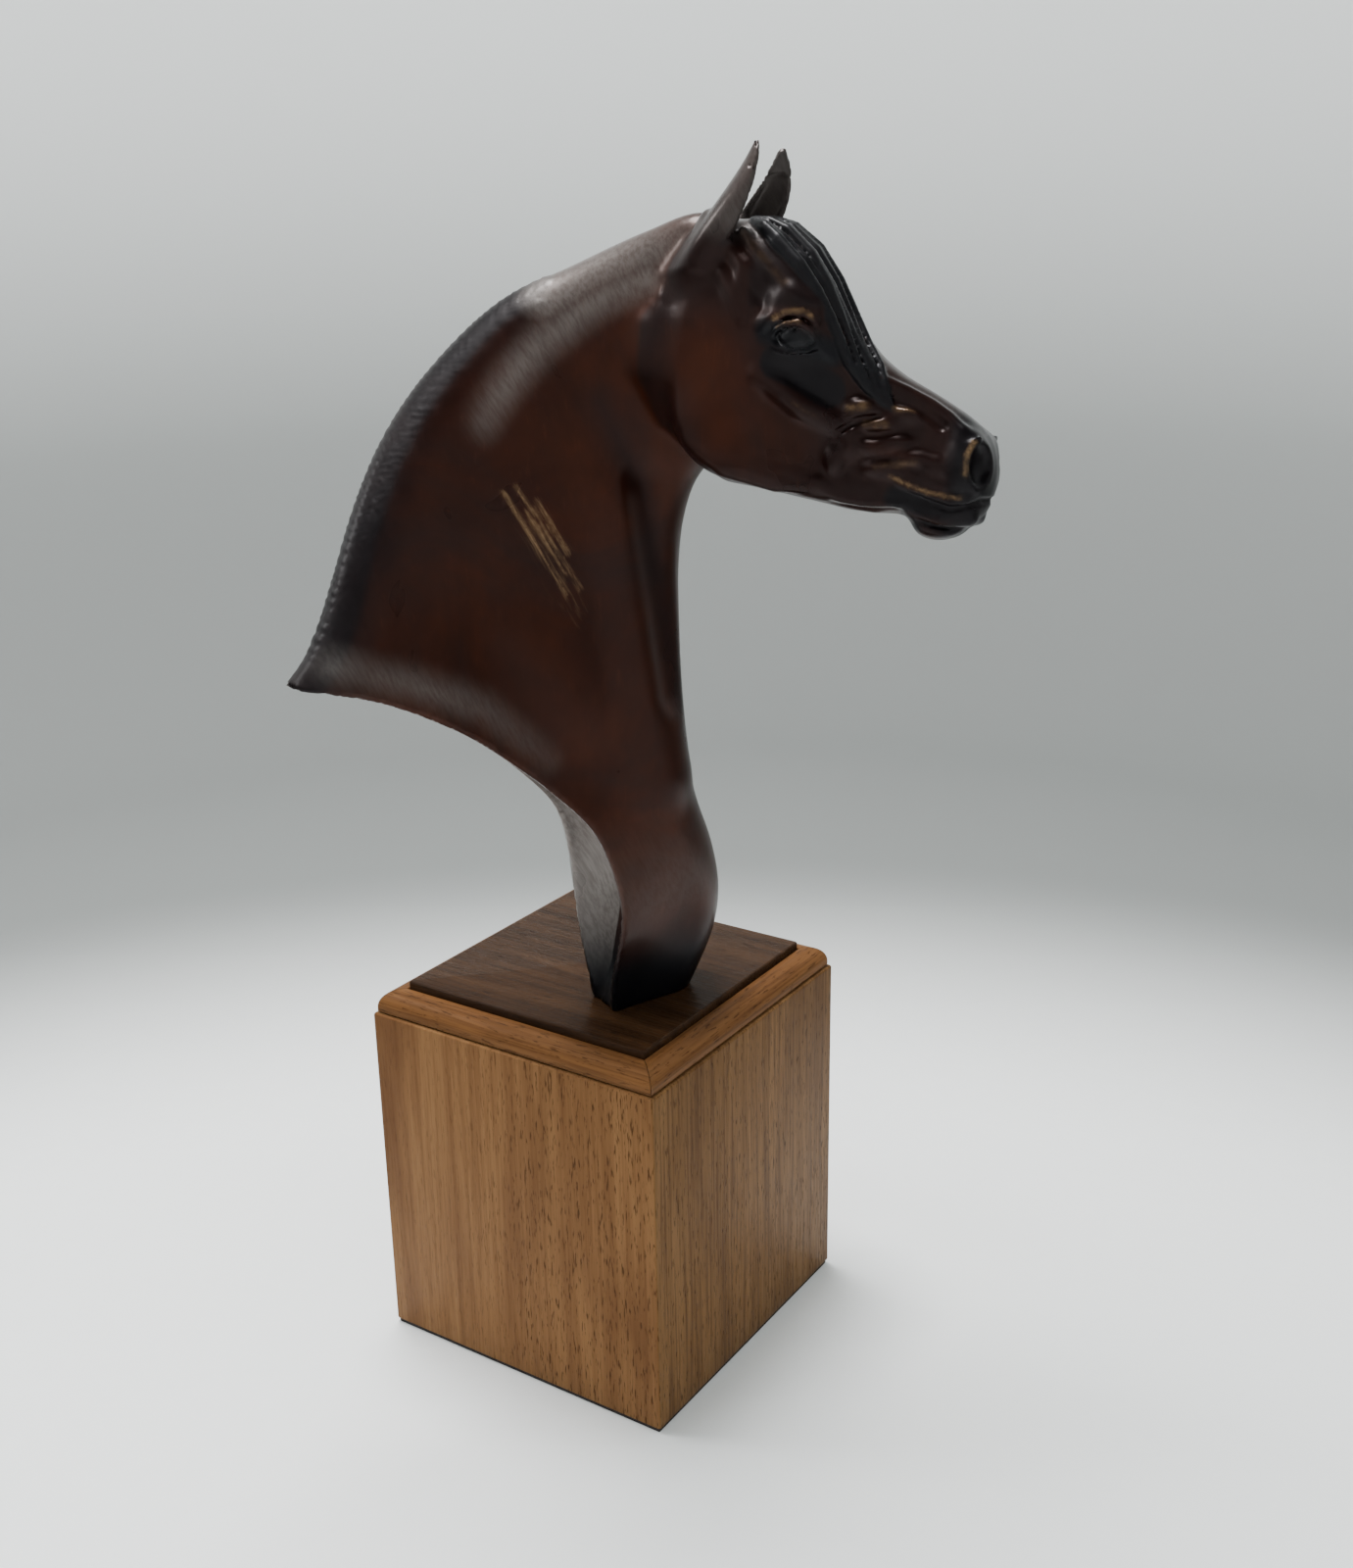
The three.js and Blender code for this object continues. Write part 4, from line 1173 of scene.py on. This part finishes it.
def build_stage():
    """A round paper sweep: flat floor, curved foot and upright wall."""
    steps, around = 12, 96
    profile = [(FLOOR_RADIUS * k / 8, 0.0) for k in range(1, 9)]
    for k in range(1, steps + 1):
        a = math.pi / 2 * k / steps
        profile.append((FLOOR_RADIUS + FLOOR_CURVE * math.sin(a), FLOOR_CURVE * (1 - math.cos(a))))
    profile.append((FLOOR_RADIUS + FLOOR_CURVE, WALL_TOP))
    points = []
    for r, z in profile:
        for k in range(around):
            a = 2 * math.pi * k / around
            points.append((r * math.cos(a), r * math.sin(a), z))
    faces = [tuple(range(around))] + ring_faces(len(profile), around, turned=True)
    mesh = bpy.data.meshes.new("studio_sweep")
    mesh.from_pydata(points, [], faces)
    mesh.polygons.foreach_set("use_smooth", [True] * len(mesh.polygons))
    mesh.materials.append(paper_sweep_painted_light())
    sweep = new_object("studio_sweep", mesh)


def paper_sweep_painted_light():
    """Pale paper with painted light and shade: a painted pool of light before the object, painted shade
    greyer further off and mid grey on the wall.
    """
    n = Nodes("paper_sweep_painted_light")
    place = n.place()
    paper = n.noise(place, 90, 3, 0.5)
    x, y, z = n.parts(place)
    off_x = n.math("POWER", n.math("SUBTRACT", x, LIGHT_POOL_CENTRE[0]), 2.0)
    off_y = n.math("POWER", n.math("SUBTRACT", y, LIGHT_POOL_CENTRE[1]), 2.0)
    flat = n.math("SQRT", n.math("ADD", off_x, off_y))
    colour = n.mix(paper, (0.93, 0.95, 0.945), (0.97, 0.99, 0.985))
    # Painted shade: a grey ring beyond the painted pool of light, and a darker wall.
    colour = n.mix(n.spread(flat, 0.51, 0.85), colour, (0.21, 0.22, 0.215))
    colour = n.mix(n.spread(z, 0.05, 0.6), colour, (0.68, 0.70, 0.695))
    n.set(base_color=colour, roughness=0.7)
    return n.material


def area_light(name, place, aim, size, power):
    data = bpy.data.lights.new(name, "AREA")
    data.shape = "DISK"
    data.size = size
    data.energy = power
    light = new_object(name, data)
    light.location = place
    light.rotation_euler = (Vector(aim) - Vector(place)).to_track_quat("-Z", "Y").to_euler()


def build_lights():
    world = bpy.data.worlds.new("studio")
    world.use_nodes = True
    sky = world.node_tree.nodes["Background"]
    sky.inputs["Color"].default_value = (0.86, 0.90, 0.92, 1)
    sky.inputs["Strength"].default_value = 0.30
    bpy.context.scene.world = world
    area_light("overhead", (-0.20, 0.05, 1.25), (0, 0, 0.1), 0.50, 24.0)
    area_light("side_fill", (-0.70, -0.35, 0.85), (0, 0, 0.25), 0.30, 3.0)


# The camera, matched to the corners of the plinth in the photo.
CAMERA_PLACE = (0.36856, -0.50357, 0.4385)
CAMERA_AIM = (-0.52298, 0.78578, -0.33022)
CAMERA_ROLL = math.radians(-1.005)
SENSOR_WIDTH = 36
LENS = 40.92


def build_camera():
    data = bpy.data.cameras.new("camera")
    data.sensor_width = SENSOR_WIDTH
    data.lens = LENS
    data.clip_start, data.clip_end = 0.01, 20
    camera = new_object("camera", data)
    aimed = Vector(CAMERA_AIM).to_track_quat("-Z", "Y").to_matrix().to_4x4()
    turn = aimed @ Matrix.Rotation(CAMERA_ROLL, 4, "Z")
    camera.matrix_world = Matrix.Translation(CAMERA_PLACE) @ turn
    bpy.context.scene.camera = camera


build_camera()
build_lights()
build_stage()
build_bust()
build_box()
build_panel()
build_mouldings()
build_felt()
